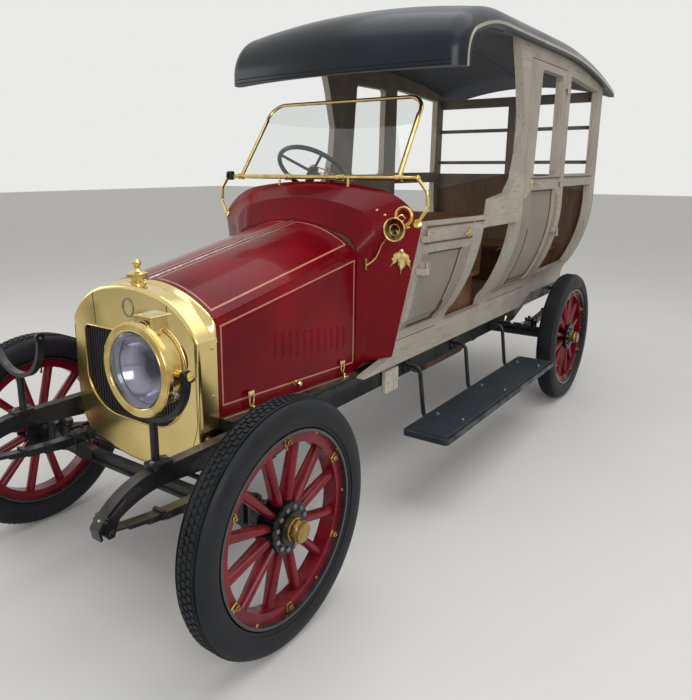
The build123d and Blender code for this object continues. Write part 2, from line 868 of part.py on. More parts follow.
def bonnet_point(line, y):
    """The point (x, z) at y on a line drawn from the radiator's back to the scuttle's front."""
    share = (y - radiator_back_y) / (scuttle_front_y - radiator_back_y)
    return tuple(start + (end - start) * share for start, end in zip(*line))


def bonnet_top_section(y):
    """Closed section of the left top panel, from the hinge rod to its own edge."""
    inner = bonnet_rod_radius + 0.5
    centre_z = bonnet_point(hinge_line, y)[1]
    arch = bonnet_point(arch_line, y)
    edge_x, edge_z = bonnet_point(division_line, y)
    with BuildSketch(across(y)) as section:
        with BuildLine():
            ThreePointArc((inner, centre_z + bonnet_sheet / 2), (arch[0], arch[1]),
                          (edge_x, edge_z + bonnet_sheet / 2))
            Line((edge_x, edge_z + bonnet_sheet / 2), (edge_x - 2, edge_z - bonnet_sheet / 2))
            ThreePointArc((edge_x - 2, edge_z - bonnet_sheet / 2),
                          (arch[0] - 1, arch[1] - bonnet_sheet),
                          (inner, centre_z - bonnet_sheet / 2))
            Line((inner, centre_z - bonnet_sheet / 2), (inner, centre_z + bonnet_sheet / 2))
        make_face()
    return section.sketch


with BuildPart() as bonnet_top_left:
    loft([bonnet_top_section(y) for y in (bonnet_front_y, bonnet_rear_y)], ruled=True)
    for y in (bonnet_front_y, bonnet_rear_y):
        with BuildSketch(across(y)):
            with Locations(bonnet_point(division_line, y)):
                Circle(division_rod_radius)
    loft(ruled=True)


def bonnet_side_section(y, side_x, bottom_z):
    """Closed section of the left side panel: rounded shoulder, then straight down."""
    edge_x, edge_z = bonnet_point(division_line, y)
    start_x = edge_x + division_rod_radius + 0.3
    start_z = edge_z - 3
    with BuildSketch(across(y)) as section:
        with BuildLine():
            ThreePointArc((start_x, start_z), (side_x - 2, start_z - 24), (side_x, start_z - 60))
            Line((side_x, start_z - 60), (side_x, bottom_z))
            Line((side_x, bottom_z), (side_x - bonnet_sheet, bottom_z))
            Line((side_x - bonnet_sheet, bottom_z), (side_x - bonnet_sheet, start_z - 60))
            ThreePointArc((side_x - bonnet_sheet, start_z - 60),
                          (side_x - 2 - bonnet_sheet, start_z - 26), (start_x - 2, start_z - 6))
            Line((start_x - 2, start_z - 6), (start_x, start_z))
        make_face()
    return section.sketch


with BuildPart() as bonnet_side_left:
    loft([
        bonnet_side_section(bonnet_front_y, bonnet_side_front_x, ledge_front_z + seat_gap),
        bonnet_side_section(bonnet_rear_y, bonnet_side_rear_x, ledge_rear_z + seat_gap),
    ], ruled=True)
    # pressed louvres: each is a lip that leans out towards the rear
    for index in range(louvre_count):
        louvre_y = louvre_front_y + index * louvre_pitch
        share = (louvre_y - bonnet_front_y) / (bonnet_rear_y - bonnet_front_y)
        skin_x = bonnet_side_front_x + (bonnet_side_rear_x - bonnet_side_front_x) * share
        with BuildSketch(Plane.XY.offset(louvre_low - index * louvre_fall)):
            with BuildLine():
                Polyline(
                    (skin_x - 1, louvre_y), (skin_x - 1, louvre_y + louvre_width),
                    (skin_x + louvre_lip, louvre_y + louvre_width),
                    (skin_x + louvre_lip, louvre_y + louvre_width - 3), close=True,
                )
            make_face()
        extrude(amount=louvre_height)

for piece, name in ((bonnet_top_left, "bonnet_top"), (bonnet_side_left, "bonnet_side")):
    finish(piece, name + "_left")
    finish(mirrored(piece), name + "_right")

with BuildPart() as bonnet_hinge_rod:
    for y in (radiator_back_y, scuttle_front_y):
        with BuildSketch(across(y)):
            with Locations(bonnet_point(hinge_line, y)):
                Circle(bonnet_rod_radius)
    loft(ruled=True)
finish(bonnet_hinge_rod, "bonnet_hinge_rod")

# Scuttle: a sheet metal cowl that rises and widens from the bonnet to the body


def scuttle_section(y, half_top, half_side, half_bottom, shoulder_z, crown, side_z, bottom_z, inset):
    """Section of the cowl, closed below."""
    top = half_top - inset * 0.6
    side = half_side - inset
    low = half_bottom - inset
    with BuildSketch(across(y)) as section:
        with BuildLine():
            ThreePointArc((-top, shoulder_z - inset), (0, crown - inset), (top, shoulder_z - inset))
            ThreePointArc((top, shoulder_z - inset),
                          ((top + side) / 2 + 24, (shoulder_z + side_z) / 2 + 18 - inset),
                          (side, side_z))
            Line((side, side_z), (low, bottom_z))
            Line((low, bottom_z), (-low, bottom_z))
            Line((-low, bottom_z), (-side, side_z))
            ThreePointArc((-side, side_z),
                          (-(top + side) / 2 - 24, (shoulder_z + side_z) / 2 + 18 - inset),
                          (-top, shoulder_z - inset))
        make_face()
    return section.sketch


scuttle_bottom = ledge_rear_z + seat_gap
scuttle_table = (
    # y, half widths at top, side and bottom, then heights of shoulder, crown, side and bottom
    (scuttle_front_y, 262, 370, 368, 1316, 1360, 1210, scuttle_bottom),
    (scuttle_front_y + 60, 320, 430, 380, 1420, 1462, 1280, 700),
    (scuttle_rear_y, 380, 604, 470, 1504, scuttle_crown, 1352, 714),
)


def scuttle_sections(inset):
    return [scuttle_section(*row, inset) for row in scuttle_table]


with BuildPart() as scuttle:
    loft(scuttle_sections(0), ruled=True)
with BuildPart() as scuttle_void:
    loft(scuttle_sections(scuttle_sheet), ruled=True)
with BuildPart() as scuttle_shell:
    add(scuttle.part)
    add(scuttle_void.part, mode=Mode.SUBTRACT)
finish(scuttle_shell, "scuttle")

# What stands on the scuttle is trimmed to its outer face, just clear of it
with BuildPart() as scuttle_clearance:
    loft(scuttle_sections(-seat_gap), ruled=True)

with BuildPart() as bulkhead:
    loft(scuttle_sections(scuttle_sheet + seat_gap), ruled=True)
    with BuildSketch(across(scuttle_front_y + bulkhead_thickness)):
        Rectangle(1600, 4000)
    extrude(amount=-400, mode=Mode.SUBTRACT)
    steer_line = Vector(*steer_centre) - Vector(*steer_foot)
    with BuildSketch(Plane(origin=steer_foot, z_dir=steer_line)):
        Circle(column_radius + 8)
    extrude(amount=steer_line.length, mode=Mode.SUBTRACT)
finish(bulkhead, "bulkhead")

# Windscreen: brass bar on S-shaped brackets and posts, raked upper frame and its pane
screen_rise = Vector(0, screen_top_y - bar_y, screen_top_z - bar_z)
screen_plane = Plane(origin=(0, bar_y, bar_z), x_dir=(1, 0, 0), z_dir=Vector(1, 0, 0).cross(screen_rise))
with BuildPart() as windscreen_frame:
    rod((-bar_half_width, bar_y, bar_z), (bar_half_width, bar_y, bar_z), bar_radius)
    with BuildLine(screen_plane) as screen_line:
        FilletPolyline(
            (-screen_half_width, 0),
            (-screen_half_width + 18, screen_rise.length),
            (screen_half_width - 18, screen_rise.length),
            (screen_half_width, 0),
            radius=85,
        )
    with BuildSketch(Plane(origin=screen_line.line @ 0, z_dir=screen_line.line % 0)):
        Circle(screen_tube_radius)
    sweep(path=screen_line.line)
    for side in (-1, 1):
        with BuildLine() as bracket_line:
            FilletPolyline(
                (side * (bar_half_width - 6), bar_y, bar_z),
                (side * (bar_half_width + 44), bar_y + 2, bar_z - 60),
                (side * (bar_half_width + 50), bar_y + 2, bar_z - 130),
                (side * bracket_foot_x, bar_y - 12, bar_z - 200),
                radius=28,
            )
        with BuildSketch(Plane(origin=bracket_line.line @ 0, z_dir=bracket_line.line % 0)):
            Circle(8)
        sweep(path=bracket_line.line)
    for post_x in (-210, 210):
        rod((post_x, bar_y - 8, scuttle_crown - 30), (post_x, bar_y - 8, bar_z), 6)
    add(scuttle_clearance.part, mode=Mode.SUBTRACT)
finish(windscreen_frame, "windscreen_frame")

glass_thickness = 5
with BuildPart() as windscreen_glass:
    inset = screen_tube_radius + 1
    with BuildSketch(screen_plane):
        with BuildLine():
            FilletPolyline(
                (-screen_half_width + inset, bar_radius + seat_gap),
                (-screen_half_width + 18 + inset, screen_rise.length - inset),
                (screen_half_width - 18 - inset, screen_rise.length - inset),
                (screen_half_width - inset, bar_radius + seat_gap),
                radius=75,
            )
            Line((screen_half_width - inset, bar_radius + seat_gap),
                 (-screen_half_width + inset, bar_radius + seat_gap))
        make_face()
    extrude(amount=glass_thickness / 2, both=True)
finish(windscreen_glass, "windscreen_glass")

# Steering column with its box on the right rail, and the steering wheel
steer_line = Vector(*steer_centre) - Vector(*steer_foot)
steer_axis = steer_line.normalized()
column_plane = Plane(origin=steer_foot, z_dir=steer_axis)
with BuildPart() as steering_column:
    with BuildSketch(column_plane):
        Circle(column_radius)
    extrude(amount=steer_line.length - 60)
    with BuildSketch(Plane.XY.offset(575)):
        with Locations((column_x - 6, steer_box_y - 12)):
            RectangleRounded(52, 104, 14)
    extrude(amount=80)
    with BuildSketch(along(-cross_inner_x)):
        with Locations((steer_box_y, drop_shaft_z)):
            Circle(34)
    extrude(amount=cross_inner_x + column_x - 10)
    with BuildSketch(along(drop_arm_x - drop_arm_thickness)):
        with Locations((steer_box_y, drop_shaft_z)):
            Circle(drop_shaft_radius)
    extrude(amount=-(drop_arm_x - drop_arm_thickness) + column_x)
finish(steering_column, "steering_column")

wheel_plane = Plane(origin=steer_centre, z_dir=steer_axis)
with BuildPart() as steering_wheel:
    with BuildSketch(Plane(origin=wheel_plane.origin, x_dir=wheel_plane.x_dir,
                           z_dir=wheel_plane.y_dir)):
        with Locations((steering_wheel_radius - steering_rim_radius, 0)):
            Circle(steering_rim_radius)
    revolve(axis=Axis(wheel_plane.origin, steer_axis))
    with BuildSketch(wheel_plane.offset(-60 + seat_gap)):
        Circle(27)
    extrude(amount=72)
    for turn in (45, 135, 225, 315):
        spoke_dir = wheel_plane.x_dir * cos(radians(turn)) + wheel_plane.y_dir * sin(radians(turn))
        start = Vector(*steer_centre) + spoke_dir * 15 - steer_axis * 6
        end = Vector(*steer_centre) + spoke_dir * (steering_wheel_radius - steering_rim_radius)
        rod(tuple(start), tuple(end), 8)
finish(steering_wheel, "steering_wheel")

# Bulb-less trumpet horn on the scuttle's left side: bell, coiled tube and clip
horn_x = 552
horn_z = 1338
horn_mouth_y = station(998)
with BuildPart() as horn:
    with BuildSketch(Plane(origin=(horn_x, 0, horn_z), x_dir=(1, 0, 0), z_dir=(0, 0, 1))):
        with BuildLine():
            Polyline(
                (0, horn_mouth_y + 14), (20, horn_mouth_y + 6), (50, horn_mouth_y),
                (52, horn_mouth_y + 5), (34, horn_mouth_y + 34), (18, horn_mouth_y + 80),
                (12, horn_mouth_y + 150), (0, horn_mouth_y + 150), close=True,
            )
        make_face()
    revolve(axis=Axis((horn_x, 0, horn_z), (0, 1, 0)))
    with BuildSketch(Plane(origin=(horn_x - 20, horn_mouth_y + 120, horn_z + 50),
                           x_dir=(1, 0, 0), z_dir=(0, 0, 1))):
        with Locations((40, 0)):
            Circle(8)
    revolve(axis=Axis((horn_x - 20, horn_mouth_y + 120, horn_z + 50), (0, 1, 0)))
    rod((horn_x, horn_mouth_y + 120, horn_z), (horn_x, scuttle_rear_y - 12, horn_z), 8)
    add(scuttle_clearance.part, mode=Mode.SUBTRACT)
finish(horn, "horn")

# Headlamp on the left: brass drum with rim and chimney; its fork, and the empty fork on the right
lamp_front_y = lamp_y - 62
bowl_radius = 108
bowl_depth = 74
bowl_floor = 16
with BuildPart() as headlamp_left:
    with BuildSketch(Plane(origin=(lamp_x, 0, lamp_z), x_dir=(1, 0, 0), z_dir=(0, 0, 1))):
        with BuildLine():
            Polyline(
                (0, lamp_front_y + 30), (118, lamp_front_y + 30), (118, lamp_front_y + 6),
                (126, lamp_front_y), (144, lamp_front_y), (lamp_rim_radius, lamp_front_y + 8),
                (lamp_rim_radius, lamp_front_y + 24), (lamp_radius, lamp_front_y + 34),
                (lamp_radius - 8, lamp_front_y + 100), (96, lamp_front_y + 112),
                (70, lamp_front_y + 160), (30, lamp_front_y + lamp_length),
                (0, lamp_front_y + lamp_length), close=True,
            )
        make_face()
    revolve(axis=Axis((lamp_x, 0, lamp_z), (0, 1, 0)))
    # the chimney's box, and the bowl of the reflector behind the glass
    with BuildSketch(Plane.XY.offset(lamp_z + lamp_radius - 30)):
        with Locations((lamp_x, lamp_y + 22)):
            RectangleRounded(76, 80, 12)
    extrude(amount=66, taper=6)
    with BuildSketch(Plane(origin=(lamp_x, 0, lamp_z), x_dir=(1, 0, 0), z_dir=(0, 0, 1))):
        with BuildLine():
            Line((0, lamp_front_y + 29), (bowl_radius, lamp_front_y + 29))
            Line((bowl_radius, lamp_front_y + 29), (bowl_radius, lamp_front_y + 36))
            ThreePointArc((bowl_radius, lamp_front_y + 36),
                          (bowl_radius * 0.68, lamp_front_y + 36 + bowl_depth * 0.62),
                          (bowl_floor, lamp_front_y + 36 + bowl_depth))
            Line((bowl_floor, lamp_front_y + 36 + bowl_depth), (0, lamp_front_y + 36 + bowl_depth))
            Line((0, lamp_front_y + 36 + bowl_depth), (0, lamp_front_y + 29))
        make_face()
    revolve(axis=Axis((lamp_x, 0, lamp_z), (0, 1, 0)), mode=Mode.SUBTRACT)
    for side in (-1, 1):
        for radius, start, end in (
            (trunnion_boss_radius, lamp_radius - 12, fork_half - fork_bar / 2 - seat_gap),
            (trunnion_radius, lamp_radius, fork_half + fork_bar / 2 + 10),
            (trunnion_boss_radius - 3, fork_half + fork_bar / 2 + seat_gap, fork_half + fork_bar / 2 + 9),
        ):
            with BuildSketch(along(lamp_x + side * start)):
                with Locations((lamp_y, lamp_z)):
                    Circle(radius)
            extrude(amount=side * (end - start))
finish(headlamp_left, "headlamp_left")

with BuildPart() as headlamp_glass:
    with BuildSketch(across(lamp_front_y + 30 - seat_gap)):
        with Locations((lamp_x, lamp_z)):
            Circle(118 - seat_gap)
    extrude(amount=8)
finish(headlamp_glass, "headlamp_glass")

with BuildPart() as fork_left:
    with BuildLine() as fork_line:
        FilletPolyline(
            (lamp_x - fork_half, lamp_y, lamp_z),
            (lamp_x - fork_half, lamp_y, lamp_z - fork_half - 8),
            (lamp_x + fork_half, lamp_y, lamp_z - fork_half - 8),
            (lamp_x + fork_half, lamp_y, lamp_z),
            radius=fork_half - 6,
        )
    with BuildSketch(Plane(origin=fork_line.line @ 0, z_dir=fork_line.line % 0)):
        Rectangle(fork_bar, 26)
    sweep(path=fork_line.line)
    for side in (-1, 1):
        with BuildSketch(along(lamp_x + side * fork_half - fork_bar / 2)):
            with Locations((lamp_y, lamp_z)):
                Circle(fork_eye_radius)
        extrude(amount=fork_bar)
    with BuildSketch(along(lamp_x - fork_half - fork_bar)):
        with Locations((lamp_y, lamp_z)):
            Circle(trunnion_radius + seat_gap)
    extrude(amount=2 * (fork_half + fork_bar), mode=Mode.SUBTRACT)
    rod((lamp_x, lamp_y, rail_top + seat_gap), (lamp_x, lamp_y, lamp_z - fork_half - 4), 14)
    with BuildSketch(Plane.XY.offset(rail_top + seat_gap)):
        with Locations((rail_x - 4, lamp_y)):
            RectangleRounded(64, 84, 12)
    extrude(amount=14)
with BuildPart() as headlamp_forks:
    add(fork_left.part)
    mirror(fork_left.part, about=Plane.YZ)
finish(headlamp_forks, "headlamp_forks")

# Body: a curved side band, cut into fixed framing, doors and panels by side views


def half_width_at(y):
    """The side's half width at the waist: the first bay narrows towards the scuttle."""
    if y >= armrest_start_y:
        return body_half_width
    taper = (body_half_width - front_half_width) / (armrest_start_y - front_pillar_y)
    return body_half_width - (armrest_start_y - y) * taper


def face_curve(side, low):
    """One face of the body side, from its top to the sill's foot, as edges of a sketch."""
    return (
        Edge.make_line((side - 4, post_head + 10), (side, 1420)),
        Edge.make_three_point_arc((side, 1420), (side - 34, 1130), (low + 52, 890)),
        Edge.make_three_point_arc((low + 52, 890), (low + 12, 835), (low, sill_top)),
        Edge.make_line((low, sill_top), (low, sill_bottom)),
    )


def side_band(y, thickness, inset=0):
    """Section of the left body side at a station, between its outer and inner faces."""
    side = half_width_at(y) - inset
    low = sill_x - inset
    with BuildSketch(across(y)) as section:
        with BuildLine():
            add(face_curve(side, low))
            Line((low, sill_bottom), (low - thickness, sill_bottom))
            add(face_curve(side - thickness, low - thickness))
            Line((side - 4 - thickness, post_head + 10), (side - 4, post_head + 10))
        make_face()
    return section.sketch


def band_solid(front_y, rear_y, thickness, inset=0):
    """The body side between two stations: tapering in the first bay, straight behind it."""
    with BuildPart() as band:
        if front_y < armrest_start_y:
            bend_y = min(rear_y, armrest_start_y)
            loft([side_band(front_y, thickness, inset), side_band(bend_y, thickness, inset)],
                 ruled=True)
        if rear_y > armrest_start_y:
            start_y = max(front_y, armrest_start_y)
            extrude(side_band(rear_y, thickness, inset), amount=rear_y - start_y)
    return band


# Roof: one crowned section with rolled sides, carried along an arched line that drops to the front lip
roof_half = 690
roof_depth = 145
roof_edge = 30
shoulder_half = 600
shoulder_drop = 45
shoulder_bulge = 66
lining_half = roof_half - 26
lining_drop = 32
lip_y = station(1247)
lip_low = roof_top - 362
lip_rise = 45
lip_radius = 260
front_slope = radians(21)
front_arch_start_y = lip_y + lip_radius * (1 - sin(front_slope))
front_arch_start_z = lip_low + lip_rise + lip_radius * cos(front_slope)
lip_middle = (radians(90) - front_slope) / 2
front_arch_radius = (roof_top - front_arch_start_z) / (1 - cos(front_slope))
front_arch_end_y = front_arch_start_y + front_arch_radius * sin(front_slope)
rear_arch_start_y = station(2750)
rear_arch_radius = 5950
roof_rear_y = station(4060)


def arch_point(start_y, radius, y):
    """A point of an arch that leaves the roof's highest line at start_y."""
    return (y, roof_top - radius + (radius ** 2 - (y - start_y) ** 2) ** 0.5)


with BuildLine(Plane.YZ) as roof_line:
    Line((lip_y, lip_low), (lip_y, lip_low + lip_rise))
    ThreePointArc(
        (lip_y, lip_low + lip_rise),
        (
            lip_y + lip_radius * (1 - cos(lip_middle)),
            lip_low + lip_rise + lip_radius * sin(lip_middle),
        ),
        (front_arch_start_y, front_arch_start_z),
    )
    ThreePointArc(
        (front_arch_start_y, front_arch_start_z),
        arch_point(front_arch_end_y, front_arch_radius, (front_arch_start_y + front_arch_end_y) / 2),
        (front_arch_end_y, roof_top),
    )
    Line((front_arch_end_y, roof_top), (rear_arch_start_y, roof_top))
    ThreePointArc(
        (rear_arch_start_y, roof_top),
        arch_point(rear_arch_start_y, rear_arch_radius, (rear_arch_start_y + roof_rear_y) / 2),
        arch_point(rear_arch_start_y, rear_arch_radius, roof_rear_y),
    )
roof_start = Plane(origin=(0, lip_y, lip_low), x_dir=(1, 0, 0), z_dir=(0, 0, 1))
with BuildPart() as roof:
    with BuildSketch(roof_start):
        with BuildLine():
            ThreePointArc((-shoulder_half, shoulder_drop), (0, 0), (shoulder_half, shoulder_drop))
            ThreePointArc(
                (shoulder_half, shoulder_drop),
                (shoulder_half + shoulder_bulge, shoulder_drop + roof_edge),
                (roof_half, roof_depth - roof_edge),
            )
            Line((roof_half, roof_depth - roof_edge), (roof_half, roof_depth))
            Line((roof_half, roof_depth), (lining_half, roof_depth))
            ThreePointArc((lining_half, roof_depth), (0, lining_drop), (-lining_half, roof_depth))
            Line((-lining_half, roof_depth), (-roof_half, roof_depth))
            Line((-roof_half, roof_depth), (-roof_half, roof_depth - roof_edge))
            ThreePointArc(
                (-roof_half, roof_depth - roof_edge),
                (-shoulder_half - shoulder_bulge, shoulder_drop + roof_edge),
                (-shoulder_half, shoulder_drop),
            )
        make_face()
    sweep(path=roof_line.line)
finish(roof, "roof")

# What stands under the roof is trimmed to its lining
trim_half = roof_half + 10
trim_height = 150
with BuildPart() as above_roof_lining:
    with BuildSketch(roof_start):
        with BuildLine():
            ThreePointArc((lining_half, roof_depth), (0, lining_drop), (-lining_half, roof_depth))
            Polyline(
                (-lining_half, roof_depth),
                (-trim_half, roof_depth),
                (-trim_half, -trim_height),
                (trim_half, -trim_height),
                (trim_half, roof_depth),
                (lining_half, roof_depth),
            )
        make_face()
    sweep(path=roof_line.line)

hinge_reach = 10
door_radius = rear_door_rear_y - rear_door_front_y
rear_hinge = (body_half_width + hinge_reach, rear_door_rear_y)
front_hinge = (half_width_at(front_post_y) + hinge_reach, front_post_y)
front_door_radius = front_door_rear_y - front_post_y


def door_sweep(hinge, radius):
    """The upright cylinder that a door's free edge is struck from."""
    with BuildPart() as sweep_part:
        with BuildSketch(Plane.XY.offset(sill_bottom - 10)):
            with Locations(hinge):
                Circle(radius)
        extrude(amount=1700)
    return sweep_part


def side_prism(points, reach=420):
    """A solid with the given side view, through the whole thickness of the left side."""
    with BuildPart() as prism:
        with BuildSketch(along(300)):
            with BuildLine():
                Polyline(*points, close=True)
            make_face()
        extrude(amount=reach)
    return prism


# Fixed framing of a side: sill, posts, rails and the curved ribs below the waist
frame_side_view = (
    (station(910), sill_bottom),
    (kick_start_y, sill_bottom),
    (kick_end_y, sill_bottom + rail_kick),
    (body_rear_y, sill_bottom + rail_kick),
    (body_rear_y, post_head),
    (station(2090), post_head),
    (station(2165), post_head - 200),
    (b_post_y, 1860),
    (b_post_y - 20, 1680),
    (b_post_y - 70, 1540),
    (b_post_y - 160, armrest_top + 26),
    (armrest_start_y + 110, armrest_top),
    (armrest_start_y + 90, front_door_top),
    (front_pillar_y, front_door_top),
    (front_pillar_y, 712),
    (station(930), 668),
)
second_bay = (
    (armrest_start_y, 1300),
    (b_post_y - 10, 1300),
    (b_post_y - 10, sill_top + 10),
    (armrest_start_y - 30, sill_top + 10),
)
quarter_window = (
    (c_post_rear_y, window_bottom + 10),
    (c_post_rear_y, cant_rail_low + 42),
    (quarter_rear_y, cant_rail_low + 4),
    (quarter_rear_y, window_bottom + 10),
)
quarter_bay = (
    (c_post_rear_y, waist_bottom + 10),
    (quarter_rear_y, waist_bottom + 10),
    (quarter_rear_y, 900),
    (c_post_rear_y, 880),
)
rear_door_bay = (
    (rear_door_front_y - 60, sill_top + door_sill_rise),
    (rear_door_front_y - 60, rear_door_top + door_gap),
    (rear_door_rear_y, rear_door_top + door_gap),
    (rear_door_rear_y, sill_top + door_sill_rise),
)
front_door_bay = (
    (front_post_y, sill_top),
    (front_post_y, front_door_top + 20),
    (front_door_rear_y + 60, front_door_top + 20),
    (front_door_rear_y + 60, sill_top),
)

# Butt joints between the framing's timbers: each is a level cut with its front and rear ends
in_door_front = rear_door_front_y + 60
in_door_rear = rear_door_rear_y - 40
behind_body = body_rear_y + 10
armrest_joint = 1295
timber_joints = (
    # front end, rear end, height
    (station(900), in_door_front, sill_top + door_sill_rise + seat_gap),
    (in_door_rear, behind_body, 902),
    (station(1980), behind_body, window_bottom + 15),
    (in_door_rear, behind_body, waist_bottom),
    (station(1980), behind_body, cant_rail_low),
)
with BuildPart() as rear_door_opening:
    add(door_sweep(rear_hinge, door_radius + door_gap).part)
    add(side_prism(rear_door_bay).part, mode=Mode.INTERSECT)
with BuildPart() as front_door_opening:
    add(door_sweep(front_hinge, front_door_radius + door_gap).part)
    add(side_prism(front_door_bay).part, mode=Mode.INTERSECT)


def hinge_leaves(hinge, heights, toward_post):
    """Fixed halves of a door's hinges: lower barrel, pin and a leaf on the post."""
    axis_x, axis_y = hinge
    with BuildPart() as leaves:
        for hinge_z, face_x in heights:
            with BuildSketch(Plane.XY.offset(hinge_z - hinge_half)):
                with Locations(hinge):
                    Circle(hinge_barrel_radius)
                with Locations(((face_x + axis_x) / 2 - 2, axis_y + toward_post * hinge_leaf / 2)):
                    Rectangle(axis_x - face_x + 4, hinge_leaf)
            extrude(amount=hinge_half - seat_gap)
            with BuildSketch(Plane.XY.offset(hinge_z - hinge_half)):
                with Locations(hinge):
                    Circle(hinge_pin_radius)
            extrude(amount=2 * hinge_half)
    return leaves


def hinge_knuckles(hinge, heights, toward_post):
    """Moving halves of a door's hinges: upper barrel, bored for the pin, and its leaf."""
    axis_x, axis_y = hinge
    with BuildPart() as knuckles:
        for hinge_z, face_x in heights:
            with BuildSketch(Plane.XY.offset(hinge_z)):
                with Locations(hinge):
                    Circle(hinge_barrel_radius)
                with Locations(((face_x + axis_x) / 2 - 2, axis_y - toward_post * hinge_leaf / 2)):
                    Rectangle(axis_x - face_x + 4, hinge_leaf)
                with Locations(hinge):
                    Circle(hinge_pin_radius + running_fit, mode=Mode.SUBTRACT)
            extrude(amount=hinge_half)
    return knuckles


hinge_half = 28
hinge_leaf = 32
hinge_pin_radius = 4.5
hinge_barrel_radius = 9
rear_hinge_heights = ((1190, 636), (1510, 659), (rear_door_top - 108, 656))
front_hinge_heights = ((1150, 580), (1300, 602))


def side_framing(door_openings, armrest_joint_start):
    """The fixed framing of the left side, with the given door openings and a joint under the armrest."""
    with BuildPart() as framing:
        add(band_solid(station(900), body_rear_y, board).part)
        add(side_prism(frame_side_view).part, mode=Mode.INTERSECT)
        for view in (second_bay, quarter_window, quarter_bay):
            add(side_prism(view).part, mode=Mode.SUBTRACT)
        for opening in door_openings:
            add(opening.part, mode=Mode.SUBTRACT)
        add(above_roof_lining.part.moved(Location((0, 0, -seat_gap))), mode=Mode.SUBTRACT)
        armrest_cut = (armrest_joint_start, in_door_front, armrest_joint)
        for front_end, rear_end, height in timber_joints + (armrest_cut,):
            with BuildSketch(Plane.XY.offset(height)):
                with Locations((body_half_width - 100, (front_end + rear_end) / 2)):
                    Rectangle(400, rear_end - front_end)
            extrude(amount=seat_gap, mode=Mode.SUBTRACT)
        add(hinge_leaves(rear_hinge, rear_hinge_heights, 1).part)
    return framing


def panel_field(rear_y, bottom):
    """The recess of the first bay's panel."""
    with BuildPart() as field:
        add(band_solid(front_pillar_y, rear_y, 14, inset=-4).part)
        add(side_prism((
            (front_post_y + 54, bottom + 50),
            (front_post_y + 54, 1215),
            (front_door_rear_y - 78, 1215),
            (front_door_rear_y - 110, bottom + 50),
        )).part, mode=Mode.INTERSECT)
    return field


with BuildPart() as framing_left:
    add(side_framing((rear_door_opening, front_door_opening), front_door_rear_y - 20).part)
    add(hinge_leaves(front_hinge, front_hinge_heights, -1).part)
finish(framing_left, "body_frame_left")

# The right side has a fixed panel in the first bay, in one piece with its framing
with BuildPart() as fixed_side:
    add(side_framing((rear_door_opening,), station(900)).part)
    add(panel_field(front_door_rear_y, sill_top).part, mode=Mode.SUBTRACT)
finish(mirrored(fixed_side), "body_frame_right")

with BuildPart() as front_door_left:
    add(band_solid(front_pillar_y, front_door_rear_y, board).part)
    add(side_prism((
        (front_post_y + door_gap, sill_top + door_gap),
        (front_post_y + door_gap, front_door_top),
        (front_door_rear_y, front_door_top),
        (front_door_rear_y, sill_top + door_gap),
    )).part, mode=Mode.INTERSECT)
    add(door_sweep(front_hinge, front_door_radius).part, mode=Mode.INTERSECT)
    add(panel_field(front_door_rear_y, sill_top + door_gap).part, mode=Mode.SUBTRACT)
    add(hinge_knuckles(front_hinge, front_hinge_heights, -1).part)
finish(front_door_left, "front_door_left")

# Rear door: glazed-height window, waist rail, and a thin panel set back below the waist
door_low = sill_top + door_sill_rise + door_gap
with BuildPart() as rear_door_panel_field:
    add(band_solid(rear_door_front_y, rear_door_rear_y, 26, inset=-4).part)
    add(side_prism((
        (rear_door_front_y + 120, waist_bottom),
        (rear_door_rear_y - 85, waist_bottom),
        (rear_door_rear_y - 85, door_low + 70),
        (rear_door_front_y + 150, door_low + 70),
    )).part, mode=Mode.INTERSECT)
with BuildPart() as rear_door_left:
    add(band_solid(rear_door_front_y - 60, rear_door_rear_y, board).part)
    add(side_prism((
        (rear_door_front_y - 60, door_low),
        (rear_door_front_y - 60, rear_door_top),
        (rear_door_rear_y - door_gap, rear_door_top),
        (rear_door_rear_y - door_gap, door_low),
    )).part, mode=Mode.INTERSECT)
    add(door_sweep(rear_hinge, door_radius).part, mode=Mode.INTERSECT)
    add(side_prism((
        (rear_door_front_y + 135, window_bottom),
        (rear_door_front_y + 190, window_top),
        (rear_door_rear_y - 80, window_top),
        (rear_door_rear_y - 84, window_bottom),
    )).part, mode=Mode.SUBTRACT)
    add(rear_door_panel_field.part, mode=Mode.SUBTRACT)
    add(hinge_knuckles(rear_hinge, rear_hinge_heights, 1).part)
finish(rear_door_left, "rear_door_left")
finish(mirrored(rear_door_left), "rear_door_right")

# Rear wall: rails, slats, a centre post and a lower panel, cut to the sides' inner faces
wall_foot = sill_bottom + rail_kick + 60
wall_head = rear_door_top - 83
wall_views = (
    # centre height, width, height
    ((waist_bottom + waist_top) / 2, 1400, waist_top - waist_bottom),
    (wall_head, 1400, 70),
    (1640, 1400, 26),
    (1890, 1400, 26),
    ((waist_top + wall_head) / 2, 60, wall_head - waist_top),
    ((wall_foot + waist_bottom) / 2, 1400, waist_bottom - wall_foot),
)
with BuildPart() as rear_wall:
    with BuildSketch(across(body_rear_y)):
        for centre_z, width, height in wall_views:
            with Locations((0, centre_z)):
                Rectangle(width, height)
    extrude(amount=rear_wall_thickness)
    with BuildSketch(across(body_rear_y)):
        with Locations((0, (wall_foot + 190 + waist_bottom) / 2)):
            Rectangle(960, waist_bottom - wall_foot - 230)
    extrude(amount=14, mode=Mode.SUBTRACT)
    outside = band_solid(body_rear_y - 60, body_rear_y + 10, 400, inset=board + seat_gap - 400)
    add(outside.part, mode=Mode.SUBTRACT)
    mirror(outside.part, about=Plane.YZ, mode=Mode.SUBTRACT)
finish(rear_wall, "rear_wall")

